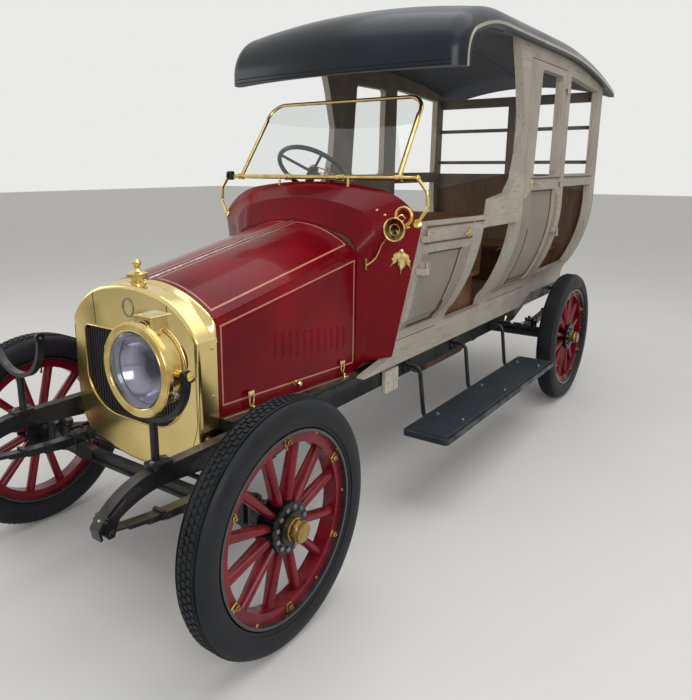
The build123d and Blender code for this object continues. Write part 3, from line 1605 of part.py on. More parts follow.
# Floor boards between the sills, with the step over the rear axle
floor_thickness = 22
floor_low = rail_top + seat_gap
floor_half = sill_x - board - seat_gap
toe_half = 350
with BuildPart() as floor:
    with BuildSketch(along(-floor_half)):
        with BuildLine():
            Polyline(
                (scuttle_rear_y + 1, floor_low),
                (kick_start_y, floor_low),
                (kick_end_y, floor_low + rail_kick),
                (body_rear_y, floor_low + rail_kick),
                (body_rear_y, floor_low + rail_kick + floor_thickness),
                (kick_end_y - 4, floor_low + rail_kick + floor_thickness),
                (kick_start_y - 4, floor_low + floor_thickness),
                (scuttle_rear_y + 1, floor_low + floor_thickness),
                close=True,
            )
        make_face()
    extrude(amount=2 * floor_half)
    with BuildSketch(Plane.XY.offset(floor_low)):
        with Locations((0, (scuttle_front_y + bulkhead_thickness + seat_gap + scuttle_rear_y + 2) / 2)):
            Rectangle(2 * toe_half, scuttle_rear_y + 2 - scuttle_front_y - bulkhead_thickness - seat_gap)
    extrude(amount=floor_thickness)
    with BuildSketch(column_plane):
        Circle(column_radius + 12)
    extrude(amount=steer_line.length, mode=Mode.SUBTRACT)
finish(floor, "floor")

# Seats: plain wooden benches, a box with a board on it, and the front one's back rest
bench_floor = floor_low + floor_thickness + seat_gap
bench_top = 980
bench_board = 26
bench_y = b_post_y - 240
with BuildPart() as front_seat:
    with BuildSketch(Plane.XY.offset(bench_floor)):
        with Locations((0, bench_y)):
            Rectangle(2 * floor_half - 20, 440)
    extrude(amount=bench_top - bench_floor)
    with BuildSketch(Plane.XY.offset(bench_top)):
        with Locations((0, bench_y - 10)):
            Rectangle(2 * floor_half + 60, 480)
    extrude(amount=bench_board)
    with BuildSketch(along(-floor_half - 30)):
        with BuildLine():
            Polyline(
                (bench_y + 206, bench_top), (bench_y + 226, bench_top),
                (bench_y + 272, bench_top + 350), (bench_y + 246, bench_top + 354), close=True,
            )
        make_face()
    extrude(amount=2 * floor_half + 60)
finish(front_seat, "front_seat")

rear_bench_floor = bench_floor + rail_kick
with BuildPart() as rear_seat:
    with BuildSketch(Plane.XY.offset(rear_bench_floor)):
        with Locations((0, quarter_rear_y - 180)):
            Rectangle(2 * floor_half - 20, 430)
    extrude(amount=bench_top + 10 - rear_bench_floor)
    with BuildSketch(Plane.XY.offset(bench_top + 10)):
        with Locations((0, quarter_rear_y - 185)):
            Rectangle(2 * floor_half + 40, 470)
    extrude(amount=bench_board)
finish(rear_seat, "rear_seat")

# Running boards and their curved irons
with BuildPart() as running_board_left:
    with BuildSketch(Plane.XY.offset(board_top - board_thickness)):
        with Locations(((board_inner_x + board_outer_x) / 2, (board_front_y + board_rear_y) / 2)):
            RectangleRounded(board_outer_x - board_inner_x, board_rear_y - board_front_y, 24)
    extrude(amount=board_thickness)
with BuildPart() as running_boards:
    add(running_board_left.part)
    mirror(running_board_left.part, about=Plane.YZ)
finish(running_boards, "running_boards")

iron_radius = 11
iron_z = board_top - board_thickness - iron_radius - seat_gap
with BuildPart() as irons_left:
    for iron_y in iron_stations:
        with BuildLine() as iron_line:
            FilletPolyline(
                (rail_x + rail_width / 2, iron_y, rail_top - rail_height / 2),
                (board_inner_x - 70, iron_y, rail_top - rail_height / 2),
                (board_inner_x - 38, iron_y, iron_z),
                (board_outer_x - 20, iron_y, iron_z),
                radius=34,
            )
        with BuildSketch(Plane(origin=iron_line.line @ 0, z_dir=iron_line.line % 0)):
            Circle(iron_radius)
        sweep(path=iron_line.line)
        with BuildSketch(along(rail_x + rail_width / 2)):
            with Locations((iron_y, rail_top - rail_height / 2)):
                RectangleRounded(60, 74, 8)
        extrude(amount=7)
with BuildPart() as running_board_irons:
    add(irons_left.part)
    mirror(irons_left.part, about=Plane.YZ)
finish(running_board_irons, "running_board_irons")

# Wheels: artillery wheels with round-ended wooden spokes, steel rim and turned hub; then the tyres


def wheel_at(centre_y, drum):
    """The left wheel at an axle: hub, spokes, felloe and rim, with a brake drum behind if asked."""
    with BuildPart() as wheel:
        with BuildSketch(along(wheel_x - hub_length / 2)):
            with Locations((centre_y, axle_z)):
                Circle(hub_radius)
        extrude(amount=hub_length)
        for flange_x in (wheel_x - 34 - hub_flange_thickness, wheel_x + 34):
            with BuildSketch(along(flange_x)):
                with Locations((centre_y, axle_z)):
                    Circle(hub_flange_radius)
            extrude(amount=hub_flange_thickness)
        with BuildSketch(along(wheel_x - felloe_width / 2)):
            with Locations((centre_y, axle_z)):
                Circle(rim_radius - 8)
                Circle(felloe_inner_radius, mode=Mode.SUBTRACT)
        extrude(amount=felloe_width)
        with BuildSketch(along(wheel_x - rim_width / 2)):
            with Locations((centre_y, axle_z)):
                Circle(rim_radius)
                Circle(rim_radius - 10, mode=Mode.SUBTRACT)
        extrude(amount=rim_width)
        for spoke in range(spoke_count):
            turn = radians((spoke + 0.5) * 360 / spoke_count)
            direction = Vector(0, sin(turn), cos(turn))
            foot = Vector(wheel_x, centre_y, axle_z) + direction * (hub_radius - 14)
            with BuildSketch(Plane(origin=foot, x_dir=(1, 0, 0), z_dir=direction)):
                Ellipse(30, spoke_root_radius * 0.55)
            length = felloe_inner_radius + 6 - (hub_radius - 14)
            with BuildSketch(Plane(origin=foot + direction * length, x_dir=(1, 0, 0), z_dir=direction)):
                Ellipse(20, spoke_tip_radius)
            loft()
        if drum:
            with BuildSketch(along(wheel_x - hub_length / 2 - drum_width)):
                with Locations((centre_y, axle_z)):
                    Circle(drum_radius)
            extrude(amount=drum_width)
            with BuildSketch(along(wheel_x - hub_length / 2 - 1)):
                with Locations((centre_y, axle_z)):
                    Circle(120)
            extrude(amount=19)
        with BuildSketch(along(wheel_x - hub_length / 2 - drum_width - 1)):
            with Locations((centre_y, axle_z)):
                Circle(spindle_radius + running_fit)
        extrude(amount=hub_length + drum_width + 2, mode=Mode.SUBTRACT)
        # the cap over the stub axle's end
        with BuildSketch(along(wheel_x + hub_length / 2)):
            with Locations((centre_y, axle_z)):
                Circle(hub_cap_radius)
        extrude(amount=hub_cap_length)
        with BuildSketch(along(wheel_x + hub_length / 2 - 1)):
            with Locations((centre_y, axle_z)):
                Circle(spindle_radius + running_fit)
        extrude(amount=20, mode=Mode.SUBTRACT)
    return wheel


def tyre_at(centre_y):
    """The left tyre at an axle: beaded edge, round walls, flat-topped tread."""
    with BuildPart() as tyre:
        with BuildSketch(Plane(origin=(wheel_x, centre_y, axle_z), x_dir=(1, 0, 0), z_dir=(0, -1, 0))):
            with BuildLine():
                Line((-38, rim_radius), (38, rim_radius))
                ThreePointArc((38, rim_radius), (tyre_width / 2, 378), (54, 414))
                ThreePointArc((54, 414), (48, 428), (tread_width / 2 - 8, 434))
                ThreePointArc((tread_width / 2 - 8, 434), (0, tyre_radius), (-tread_width / 2 + 8, 434))
                ThreePointArc((-tread_width / 2 + 8, 434), (-48, 428), (-54, 414))
                ThreePointArc((-54, 414), (-tyre_width / 2, 378), (-38, rim_radius))
            make_face()
        revolve(axis=Axis((wheel_x, centre_y, axle_z), (1, 0, 0)))
    return tyre


for centre_y, place, has_drum in ((station(0), "front", False), (rear_axle_y, "rear", True)):
    wheel = wheel_at(centre_y, has_drum)
    tyre = tyre_at(centre_y)
    finish(wheel, "wheel_" + place + "_left")
    finish(mirrored(wheel), "wheel_" + place + "_right")
    finish(tyre, "tyre_" + place + "_left")
    finish(mirrored(tyre), "tyre_" + place + "_right")
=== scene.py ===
import itertools
import math

import bmesh
import bpy
from mathutils import Matrix, Vector
from mathutils.bvhtree import BVHTree


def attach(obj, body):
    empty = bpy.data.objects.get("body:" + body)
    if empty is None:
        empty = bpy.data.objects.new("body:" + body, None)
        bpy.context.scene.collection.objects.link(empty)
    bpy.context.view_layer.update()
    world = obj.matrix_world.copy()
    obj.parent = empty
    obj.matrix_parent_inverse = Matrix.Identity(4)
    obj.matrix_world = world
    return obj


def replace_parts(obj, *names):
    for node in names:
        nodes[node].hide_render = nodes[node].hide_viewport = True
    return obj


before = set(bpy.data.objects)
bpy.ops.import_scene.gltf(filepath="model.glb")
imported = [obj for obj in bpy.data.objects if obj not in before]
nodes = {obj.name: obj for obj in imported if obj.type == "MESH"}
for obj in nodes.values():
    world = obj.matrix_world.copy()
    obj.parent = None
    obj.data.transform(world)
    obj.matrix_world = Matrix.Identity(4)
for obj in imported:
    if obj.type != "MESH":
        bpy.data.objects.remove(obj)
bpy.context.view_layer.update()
scene = bpy.context.scene
scene.view_settings.view_transform = "Standard"

# Camera: at eye height, under two metres from the car's left front corner, with a fairly wide lens.
# Its place and turn were worked out from the four round wheels, which stand on one floor.
camera_place = Vector((1.9958, -3.331, 1.6047))
camera_turn = 0.6358
camera_dip = 0.2392
aim = Vector((
    -math.sin(camera_turn) * math.cos(camera_dip),
    math.cos(camera_turn) * math.cos(camera_dip),
    -math.sin(camera_dip),
))
level = Vector((math.cos(camera_turn), math.sin(camera_turn), 0))
lens = bpy.data.cameras.new("camera")
lens.sensor_fit = "HORIZONTAL"
lens.sensor_width = 36
lens.lens = 34.53
lens.shift_x = 0.0482
lens.shift_y = -0.0306
camera = bpy.data.objects.new("camera", lens)
axes = Matrix((level, level.cross(aim), -aim)).transposed()
camera.matrix_world = Matrix.Translation(camera_place) @ axes.to_4x4()
scene.collection.objects.link(camera)
scene.camera = camera


# Studio floor: a large sheet of matt pale paint, so that only the car's shadow marks it.
# The roller leaves a faint unevenness in its sheen.
def linear(hex_colour):
    """An sRGB hex colour as linear RGBA."""
    parts = [int(hex_colour[start:start + 2], 16) / 255 for start in (1, 3, 5)]
    return [p / 12.92 if p <= 0.04045 else ((p + 0.055) / 1.055) ** 2.4 for p in parts] + [1.0]


def add(tree, kind, settings=(), links=()):
    """Adds a node, sets its properties or inputs, and links inputs to sockets or nodes' first outputs."""
    node = tree.nodes.new("ShaderNode" + kind)
    for name, value in dict(settings).items():
        if isinstance(name, str) and hasattr(node, name):
            setattr(node, name, value)
        else:
            node.inputs[name].default_value = value
    for name, source in dict(links).items():
        if isinstance(source, bpy.types.Node):
            source = next(socket for socket in source.outputs if socket.enabled)
        tree.links.new(source, node.inputs[name])
    return node


def new_material(name):
    """An empty material, its node tree, and its coordinates: metres in the car's frame."""
    made = bpy.data.materials.new(name)
    made.use_nodes = True
    made.node_tree.nodes.clear()
    return made, made.node_tree, add(made.node_tree, "TexCoord").outputs["Object"]


def surfaced(material, settings, links):
    """Ends a material in one Principled shader."""
    shader = add(material.node_tree, "BsdfPrincipled", settings, links)
    add(material.node_tree, "OutputMaterial", links={"Surface": shader})
    return material


def floor_emulsion():
    """Matt emulsion: even colour with slightly uneven sheen."""
    material, tree, place = new_material("floor_emulsion")
    cloud = add(tree, "TexNoise", {"Scale": 1.5}, {"Vector": place})
    tone = add(tree, "Mix", {"data_type": "RGBA", 6: linear("#E0DFDC"), 7: linear("#E6E5E2")}, {0: cloud})
    sheen = add(tree, "MapRange", {"To Min": 0.84, "To Max": 0.94}, {"Value": cloud})
    return surfaced(material, {}, {"Base Color": tone, "Roughness": sheen})


floor_half = 40
floor_mesh = bpy.data.meshes.new("studio_floor")
floor_mesh.from_pydata(
    [(x * floor_half, y * floor_half, 0) for x, y in ((-1, -1), (1, -1), (1, 1), (-1, 1))],
    [], [(0, 1, 2, 3)])
floor_mesh.materials.append(floor_emulsion())
studio_floor = bpy.data.objects.new("studio_floor", floor_mesh)
scene.collection.objects.link(studio_floor)

# Studio light: a pale room and three soft boxes, the largest overhead.
# The camera, metal and glass see the pale room, and a dimmer one lights the car.
world = bpy.data.worlds.new("studio")
scene.world = world
world.use_nodes = True
sky = world.node_tree
sky.nodes.clear()
rays = add(sky, "LightPath")
lighting = add(sky, "Background", {"Color": linear("#F4F4F3"), "Strength": 0.56})
showing = add(sky, "Background", {"Color": linear("#EFEFED"), "Strength": 0.95})
seen = add(sky, "Math", {"operation": "MAXIMUM"}, {
    0: rays.outputs["Is Camera Ray"], 1: rays.outputs["Is Transmission Ray"]})
seen_or_mirrored = add(sky, "Math", {"operation": "MAXIMUM"}, {0: seen, 1: rays.outputs["Is Glossy Ray"]})
room = add(sky, "MixShader", links={0: seen_or_mirrored, 1: lighting, 2: showing})
add(sky, "OutputWorld", links={"Surface": room})

soft_boxes = (
    # name, place, aimed at, width, height, watts
    ("overhead", (0.8, 0.2, 5.6), (0, 0.2, 0.8), 5.0, 6.0, 150),
    ("left_key", (5.2, -4.6, 3.6), (0, -0.4, 0.9), 3.2, 2.4, 115),
    ("right_fill", (-5.5, -3.0, 2.6), (0, 0, 0.9), 3.0, 2.4, 40),
)
for box_name, place, target, width, height, watts in soft_boxes:
    light = bpy.data.lights.new(box_name, "AREA")
    light.shape = "RECTANGLE"
    light.size = width
    light.size_y = height
    light.energy = watts
    holder = bpy.data.objects.new(box_name, light)
    holder.location = place
    holder.rotation_mode = "QUATERNION"
    holder.rotation_quaternion = (Vector(target) - Vector(place)).to_track_quat("-Z", "Y")
    scene.collection.objects.link(holder)


# Chassis: pressed steel rails with riveted cross members, forged axles and laminated springs.
# All of it is brushed with black chassis enamel, and road dust dulls what faces up.
def spot(left, behind, up):
    """A point from millimetres: left of the middle, behind the front axle, above the floor."""
    return Vector((left / 1000, (behind - 1776) / 1000, up / 1000))


def coat(material, *names):
    """Gives CAD nodes one material."""
    for name in names:
        mesh = nodes[name].data
        mesh.materials.clear()
        mesh.materials.append(material)


def recoat(name, material, belongs):
    """Gives the faces of a CAD node whose centre and normal pass a test another material."""
    mesh = nodes[name].data
    mesh.materials.append(material)
    for face in mesh.polygons:
        if belongs(face.center, face.normal):
            face.material_index = len(mesh.materials) - 1


def mottle(tree, place, scale, detail, edges, tones, sheens):
    """Cloudy patches: their share from 0 to 1, and the tone and roughness that go with it."""
    cloud = add(tree, "TexNoise", {"Scale": scale, "Detail": detail}, {"Vector": place})
    spread = add(tree, "MapRange", {"From Min": edges[0], "From Max": edges[1]}, {"Value": cloud})
    tone = add(tree, "Mix", {"data_type": "RGBA", 6: linear(tones[0]), 7: linear(tones[1])}, {0: spread})
    sheen = add(tree, "MapRange", {"To Min": sheens[0], "To Max": sheens[1]}, {"Value": spread})
    return spread, tone, sheen


def unevenness(tree, place, size, detail, strength, depth, under=None):
    """Cloudy relief with humps of a size and depth, in metres, over the relief under it."""
    humps = add(tree, "TexNoise", {"Scale": 1 / size, "Detail": detail}, {"Vector": place})
    below = {"Normal": under} if under else {}
    return add(tree, "Bump", {"Strength": strength, "Distance": depth}, {"Height": humps, **below})


def enamel(name, light, dark, rough, patch, peel=0.0001, gloss_coat=0.0, dust=0.0):
    """Paint in patches a given size, in metres, with orange peel that deep and dust on level faces."""
    material, tree, place = new_material(name)
    spread, tone, sheen = mottle(tree, place, 1 / patch, 6.0, (0.32, 0.68), (dark, light),
                                 (rough - 0.06, rough + 0.08))
    if dust:
        facing = add(tree, "SeparateXYZ", links={"Vector": add(tree, "NewGeometry").outputs["Normal"]})
        settled = add(tree, "MapRange", {"From Min": 0.6, "From Max": 1.0, "To Max": dust},
                      {"Value": facing.outputs["Z"]})
        broken = add(tree, "Math", {"operation": "MULTIPLY"}, {0: settled, 1: spread})
        tone = add(tree, "Mix", {"data_type": "RGBA", 7: linear("#8C857A")}, {0: broken, 6: tone})
    relief = unevenness(tree, place, 0.006, 2.0, 0.35, peel)
    return surfaced(material,
                    {"Coat Weight": gloss_coat, "Coat Roughness": 0.05, "Specular IOR Level": 0.25},
                    {"Base Color": tone, "Roughness": sheen, "Normal": relief})


chassis_black = enamel("black_chassis_enamel", "#202226", "#131417", 0.36, 0.12, 0.00025, 0.25, 0.5)
coat(chassis_black, "frame_rail_left", "frame_rail_right", "frame_cross_members", "front_axle", "rear_axle",
     "leaf_springs", "knuckle_left", "knuckle_right", "track_rod", "drag_link", "drop_arm",
     "headlamp_forks", "running_board_irons", "steering_column", "bonnet_hinge_rod")


def frame_of(direction):
    """Two unit vectors square to a direction and to each other."""
    helper = Vector((0, 0, 1)) if abs(direction.z) < 0.9 else Vector((1, 0, 0))
    first = direction.cross(helper).normalized()
    return first, direction.cross(first).normalized()


def skin(shape, rings, ends=False):
    """Joins closed rings of points with faces, and closes both ends if asked; a ring may be one point."""
    for one, other in zip(rings, rings[1:]):
        count = max(len(one), len(other))
        for k in range(count):
            after = (k + 1) % count
            corners = (one[k % len(one)], one[after % len(one)],
                       other[after % len(other)], other[k % len(other)])
            shape.faces.new(list(dict.fromkeys(corners)))
    if ends:
        shape.faces.new(rings[0])
        shape.faces.new(rings[-1])


def lathe(shape, profile, foot, direction, segments=24):
    """Turns (distance along, radius) points about an axis from foot; a radius of 0 closes the end."""
    direction = Vector(direction).normalized()
    first, second = frame_of(direction)
    rings = []
    for along, radius in profile:
        centre = Vector(foot) + direction * along
        turns = [2 * math.pi * k / segments for k in range(segments)] if radius else [0]
        rings.append([shape.verts.new(centre + radius * (first * math.cos(t) + second * math.sin(t)))
                      for t in turns])
    skin(shape, rings)


def tube(shape, points, radius, closed=False, sides=10):
    """A round bar or wire along points, with flat ends."""
    points = [Vector(p) for p in points]
    rings = []
    upright = None
    for k, point in enumerate(points):
        before = points[k - 1] if k or closed else point
        after = points[(k + 1) % len(points)] if k < len(points) - 1 or closed else point
        direction = (after - before).normalized()
        upright = upright or frame_of(direction)[0]
        upright = (upright - direction * upright.dot(direction)).normalized()
        across = direction.cross(upright)
        rings.append([shape.verts.new(point + radius * (upright * math.cos(2 * math.pi * s / sides)
                                                        + across * math.sin(2 * math.pi * s / sides)))
                      for s in range(sides)])
    skin(shape, rings + rings[:1] if closed else rings, ends=not closed)


def slab(shape, centre, size, edge=0.001, turn=None):
    """A block with chamfered edges; turn is a rotation about its centre."""
    corners = bmesh.ops.create_cube(shape, size=1.0)["verts"]
    bmesh.ops.scale(shape, vec=size, verts=corners)
    edges = list({e for v in corners for e in v.link_edges})
    made = bmesh.ops.bevel(shape, geom=edges, offset=edge, segments=1, affect="EDGES")
    matrix = Matrix.Translation(centre) @ (turn.to_4x4() if turn else Matrix.Identity(4))
    bmesh.ops.transform(shape, matrix=matrix, verts=list({v for f in made["faces"] for v in f.verts}))


def nut(shape, foot, direction, radius=0.009, height=0.008, stud=0.004):
    """A hexagon nut on its stud, its seat a little below foot."""
    lathe(shape, ((-0.001, 0), (-0.001, radius), (height * 0.85, radius), (height, radius * 0.84),
                  (height, 0)), foot, direction, 6)
    lathe(shape, ((height * 0.9, 0), (height * 0.9, radius * 0.5), (height + stud, radius * 0.45),
                  (height + stud, 0)), foot, direction, 10)


def dome(shape, foot, direction, radius=0.006, height=0.004):
    """A round rivet or screw head."""
    lathe(shape, ((-0.001, 0), (-0.001, radius), (height * 0.35, radius * 0.95),
                  (height * 0.8, radius * 0.6), (height, 0)), foot, direction, 12)


def arc(centre, first, second, start, end, count):
    """Points on an arc of an ellipse given by its two half axes, angles in degrees."""
    turns = [math.radians(start + (end - start) * k / count) for k in range(count + 1)]
    return [Vector(centre) + Vector(first) * math.cos(t) + Vector(second) * math.sin(t) for t in turns]


def hoop(shape, centre, half_width, half_height, wire, count):
    """A closed ring of round wire that stands upright across the car."""
    tube(shape, arc(centre, (half_width, 0, 0), (0, 0, half_height), 0, 360, count)[:-1], wire, closed=True)


def piece(name, shape, material, body, sharp=35):
    """Turns a bmesh in the car's frame into a smooth-shaded object that rides on a body."""
    bmesh.ops.recalc_face_normals(shape, faces=shape.faces)
    mesh = bpy.data.meshes.new(name)
    shape.to_mesh(mesh)
    shape.free()
    mesh.materials.append(material)
    mesh.polygons.foreach_set("use_smooth", [True] * len(mesh.polygons))
    mesh.set_sharp_from_angle(angle=math.radians(sharp))
    made = bpy.data.objects.new(name, mesh)
    scene.collection.objects.link(made)
    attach(made, body)
    return made


def polished(name, bright, dull, low, high, tarnish_size=0.07, buckle_depth=0.0015):
    """Wiped metal: cloudy tarnish, fine rub marks one way, and a sheet that isn't quite flat."""
    material, tree, place = new_material(name)
    tone, sheen = mottle(tree, place, 1 / tarnish_size, 6.0, (0.34, 0.64), (dull, bright), (high, low))[1:]
    rubbed = add(tree, "Mapping", {"Scale": (30, 30, 500)}, {"Vector": place})
    marks = unevenness(tree, rubbed, 1.0, 3.0, 0.3, 0.00003)
    relief = unevenness(tree, place, 0.125, 1.0, 0.25, buckle_depth, marks)
    return surfaced(material, {"Metallic": 1.0}, {"Base Color": tone, "Roughness": sheen, "Normal": relief})


bare_steel = polished("bare_steel", "#A9ABAD", "#7D7B78", 0.25, 0.45)
brass = polished("polished_brass", "#E2CB8A", "#C2A661", 0.12, 0.28)

# Rivets: round-headed steel rivets join the rails to their cross members, three above each other.
# They are closed hot, flush with the web inside, and enamelled with the frame.
rail_face = 432
rail_kick_up = 70
kick_up_behind = 3130
rivets = bmesh.new()
for side in (-1, 1):
    for row_behind in (130, 300, 560, 1040, 1290, 1560, 2120, 2420, 2760, 3300, 3560, 3790):
        lift = rail_kick_up if row_behind > kick_up_behind else 0
        for up in (588, 612, 636):
            dome(rivets, spot(side * rail_face, row_behind, up + lift), (side, 0, 0), 0.008, 0.005)
piece("frame_rivets", rivets, chassis_black, "chassis")

# Spring fittings: steel clips round the leaves, U-bolts that tie them to the axle, and eye bolts.
# Turned brass cups screwed over the eyes feed them with grease.
springs = (
    # spring's x, middle, half length, eye height, main leaf's underside in the middle, leaves, cup's lean
    (410, 0, 470, 530, 480, 5, -0.4),
    (478, 3180, 540, 604, 517, 6, 0.3),
)
spring_leaf = 7
half_eye = 3.5
bolt_spread = 27
bolt_half_gap = 34
clip_share = 0.55
grease_cup = ((0, 0), (0, 0.006), (0.012, 0.006), (0.013, 0.010), (0.030, 0.0105), (0.033, 0.008),
              (0.034, 0))
clips = bmesh.new()
cups = bmesh.new()
for side in (-1, 1):
    for left, middle, half, eye, main_bottom, leaves, cup_lean in springs:
        sag = eye - half_eye - main_bottom
        bow = (half ** 2 + sag ** 2) / (2 * sag)
        for end in (-1, 1):
            reach = end * half * clip_share
            rise = bow - math.sqrt(bow ** 2 - reach ** 2)
            stack = spring_leaf * (leaves - 3)
            clip_up = main_bottom + rise - stack / 2
            slab(clips, spot(side * left, middle + reach, clip_up + 7),
                 (0.052, 0.016, (stack + 20) / 1000), 0.002)
            nut(clips, spot(side * (left + 26), middle + reach, clip_up + 6), (side, 0, 0), 0.007, 0.006)
            bolt_behind = middle + end * bolt_half_gap
            for column in (left - bolt_spread, left + bolt_spread):
                tube(clips, [spot(side * column, bolt_behind, main_bottom - spring_leaf * leaves - 18),
                             spot(side * column, bolt_behind, main_bottom + 22)], 0.0055)
                nut(clips, spot(side * column, bolt_behind, main_bottom + 16), (0, 0, 1), 0.0095, 0.009)
            eye_behind = middle + end * half
            nut(clips, spot(side * (left + 27), eye_behind, eye), (side, 0, 0), 0.014, 0.012, 0.005)
            lathe(cups, grease_cup, spot(side * left, eye_behind, eye + 14), (0, cup_lean, 0.9), 12)
piece("spring_clips_and_bolts", clips, chassis_black, "chassis")
piece("spring_grease_cups", cups, brass, "chassis")

# Engine, gearbox and exhaust: iron sand cast and left rough, with an oily bloom.
# The exhaust is mild steel pipe, browned by heat and rust.
cast_iron = enamel("sand_cast_iron", "#3A3A3A", "#232323", 0.6, 0.05, 0.0012, 0.0, 0.4)
rusty_steel = enamel("heat_browned_steel", "#6A5446", "#3E2E27", 0.7, 0.04, 0.0006, 0.0, 0.3)
coat(cast_iron, "engine_block", "gearbox")
coat(rusty_steel, "exhaust")

# Wheels: ash spokes and felloes under dark red carriage enamel, a black flanged hub, a steel rim.
# Clamp plates and nuts hold the rim to the felloe between the spokes, and brass caps close the hubs.
wheel_red = enamel("dark_red_carriage_enamel", "#7E0A1E", "#5A0613", 0.30, 0.06, 0.0003, 0.2, 0.12)
hub_black = enamel("black_hub_enamel", "#1D1E21", "#121316", 0.34, 0.05, 0.0002, 0.2)
browned_brass = polished("browned_brass", "#B99A5C", "#8B7040", 0.24, 0.42)
rim_steel = enamel("black_rim_enamel", "#2E2E32", "#1A1B1E", 0.26, 0.04, 0.0002, 0.8, 0.1)
both_sides = (("left", 1), ("right", -1))
axle_up = 440
wheel_out = 715
wheels = [
    # end, side name, side, middle of the axle
    (end, name, side, spot(0, behind, axle_up))
    for end, behind in (("front", 0), ("rear", 3180)) for name, side in both_sides
]
spoke_step = 30
rim_seat = 0.3255
clamp_radius, clamp_out = 0.307, 0.031
clamp_nut_radius, clamp_nut_out = 0.303, 0.034
rim_rivet_out = 0.0285
hub_nut_radius, hub_nut_out = 0.073, 0.043
hub_flange, hub_inner_face = 0.0895, 0.662
cap_radius, cap_face = 0.04, 0.768
hub_cap_foot = 0.767
valve_turn, valve_radius = 8, 0.289
cap_turning = ((-0.004, 0.030), (-0.004, 0.040), (0.010, 0.040), (0.013, 0.0355), (0.036, 0.0352),
               (0.043, 0.029), (0.0462, 0.016), (0.0468, 0))
cap_flats = ((0.016, 0.034), (0.016, 0.0395), (0.018, 0.0405), (0.031, 0.0405), (0.033, 0.0395),
             (0.033, 0.034))
valve_turning = ((-0.004, 0), (-0.004, 0.007), (0.004, 0.007), (0.005, 0.0042), (0.022, 0.0042),
                 (0.023, 0.0052), (0.033, 0.005), (0.035, 0))


def round_axle(degrees):
    """The way out from the axle at an angle from the top."""
    angle = math.radians(degrees)
    return Vector((0, math.sin(angle), math.cos(angle)))


def from_axle(point, middle):
    """A point's distance from the axle."""
    return math.hypot(point.y - middle.y, point.z - middle.z)


for end, side_name, side, middle in wheels:
    node_name = f"wheel_{end}_{side_name}"
    body = f"road_wheel_{end}_{side_name}"
    outward = Vector((side, 0, 0))
    centre = middle + outward * wheel_out / 1000
    coat(wheel_red, node_name)
    recoat(node_name, hub_black,
           lambda c, n: from_axle(c, middle) < hub_flange or abs(c.x) < hub_inner_face)
    recoat(node_name, rim_steel, lambda c, n: from_axle(c, middle) > rim_seat)
    recoat(node_name, browned_brass,
           lambda c, n: abs(c.x) > cap_face and from_axle(c, middle) < cap_radius)
    fittings = bmesh.new()
    hub_nuts = bmesh.new()
    for turn in range(360 // spoke_step):
        radial = round_axle(spoke_step * turn)
        if turn % 2:
            dome(fittings, centre + outward * rim_rivet_out + radial * rim_seat, outward, 0.0075, 0.006)
        else:
            turned = Matrix((outward, outward.cross(radial), radial)).transposed()
            slab(fittings, centre + outward * clamp_out + radial * clamp_radius,
                 (0.006, 0.026, 0.036), 0.002, turned)
            nut(fittings, centre + outward * clamp_nut_out + radial * clamp_nut_radius, outward,
                0.0105, 0.010, 0.005)
        spoke_way = round_axle(spoke_step * (turn + 0.5))
        nut(hub_nuts, centre + outward * hub_nut_out + spoke_way * hub_nut_radius, outward,
            0.0085, 0.006, 0.003)
    piece(f"rim_clamps_{end}_{side_name}", fittings, browned_brass, body)
    piece(f"hub_nuts_{end}_{side_name}", hub_nuts, bare_steel, body)
    cap = bmesh.new()
    lathe(cap, cap_turning, middle + outward * hub_cap_foot, outward, 36)
    lathe(cap, cap_flats, middle + outward * hub_cap_foot, outward, 8)
    valve_way = round_axle(valve_turn)
    lathe(cap, valve_turning, centre + valve_way * valve_radius, -valve_way, 14)
    piece(f"hub_cap_{end}_{side_name}", cap, browned_brass, body)

# Tyres: moulded black rubber, held by two beads in the rim's hooked edges.
# The tread has three rows of blocks, the middle one half a step on, between two grooves.
tyre_section = [
    # out from the wheel's middle and radius, from one bead to the crown
    (-38, 337), (-47, 342), (-52, 352), (-56, 352.6), (-57.6, 361), (-60, 378), (-59.2, 394), (-57, 407),
    (-53, 418), (-47, 427), (-40, 432.5), (-38.5, 428.5), (-33.5, 428.5), (-32, 434.6), (-27, 435.4),
]
tyre_section += [(-out, radius) for out, radius in reversed(tyre_section)]
tyre_section.append(tyre_section[0])
block_columns = (-19, 0, 19)
block_count = 104
block_size = (0.0155, 0.019, 0.006)
block_middle = 0.4367
block_top_share = 0.88


def tread_block(shape, centre, out, round_way):
    """A block on the tread, tapered towards its top."""
    width, length, height = block_size
    rings = []
    for up, share in ((-0.5, 1), (0.5, block_top_share)):
        rings.append([shape.verts.new(centre + out * height * up + round_way * length * share * a / 2
                                      + Vector((1, 0, 0)) * width * share * b / 2)
                      for a, b in ((-1, -1), (1, -1), (1, 1), (-1, 1))])
    skin(shape, rings, ends=True)


def vulcanised_rubber():
    """Black tyre rubber: cloudy patches of a bluish bloom, fine grit by bump."""
    material, tree, place = new_material("vulcanised_rubber")
    tone, sheen = mottle(tree, place, 9.0, 8.0, (0.35, 0.65), ("#0E0F12", "#1D1F25"), (0.46, 0.66))[1:]
    relief = unevenness(tree, place, 0.0025, 3.0, 0.4, 0.0004)
    return surfaced(material, {"Specular IOR Level": 0.3},
                    {"Base Color": tone, "Roughness": sheen, "Normal": relief})


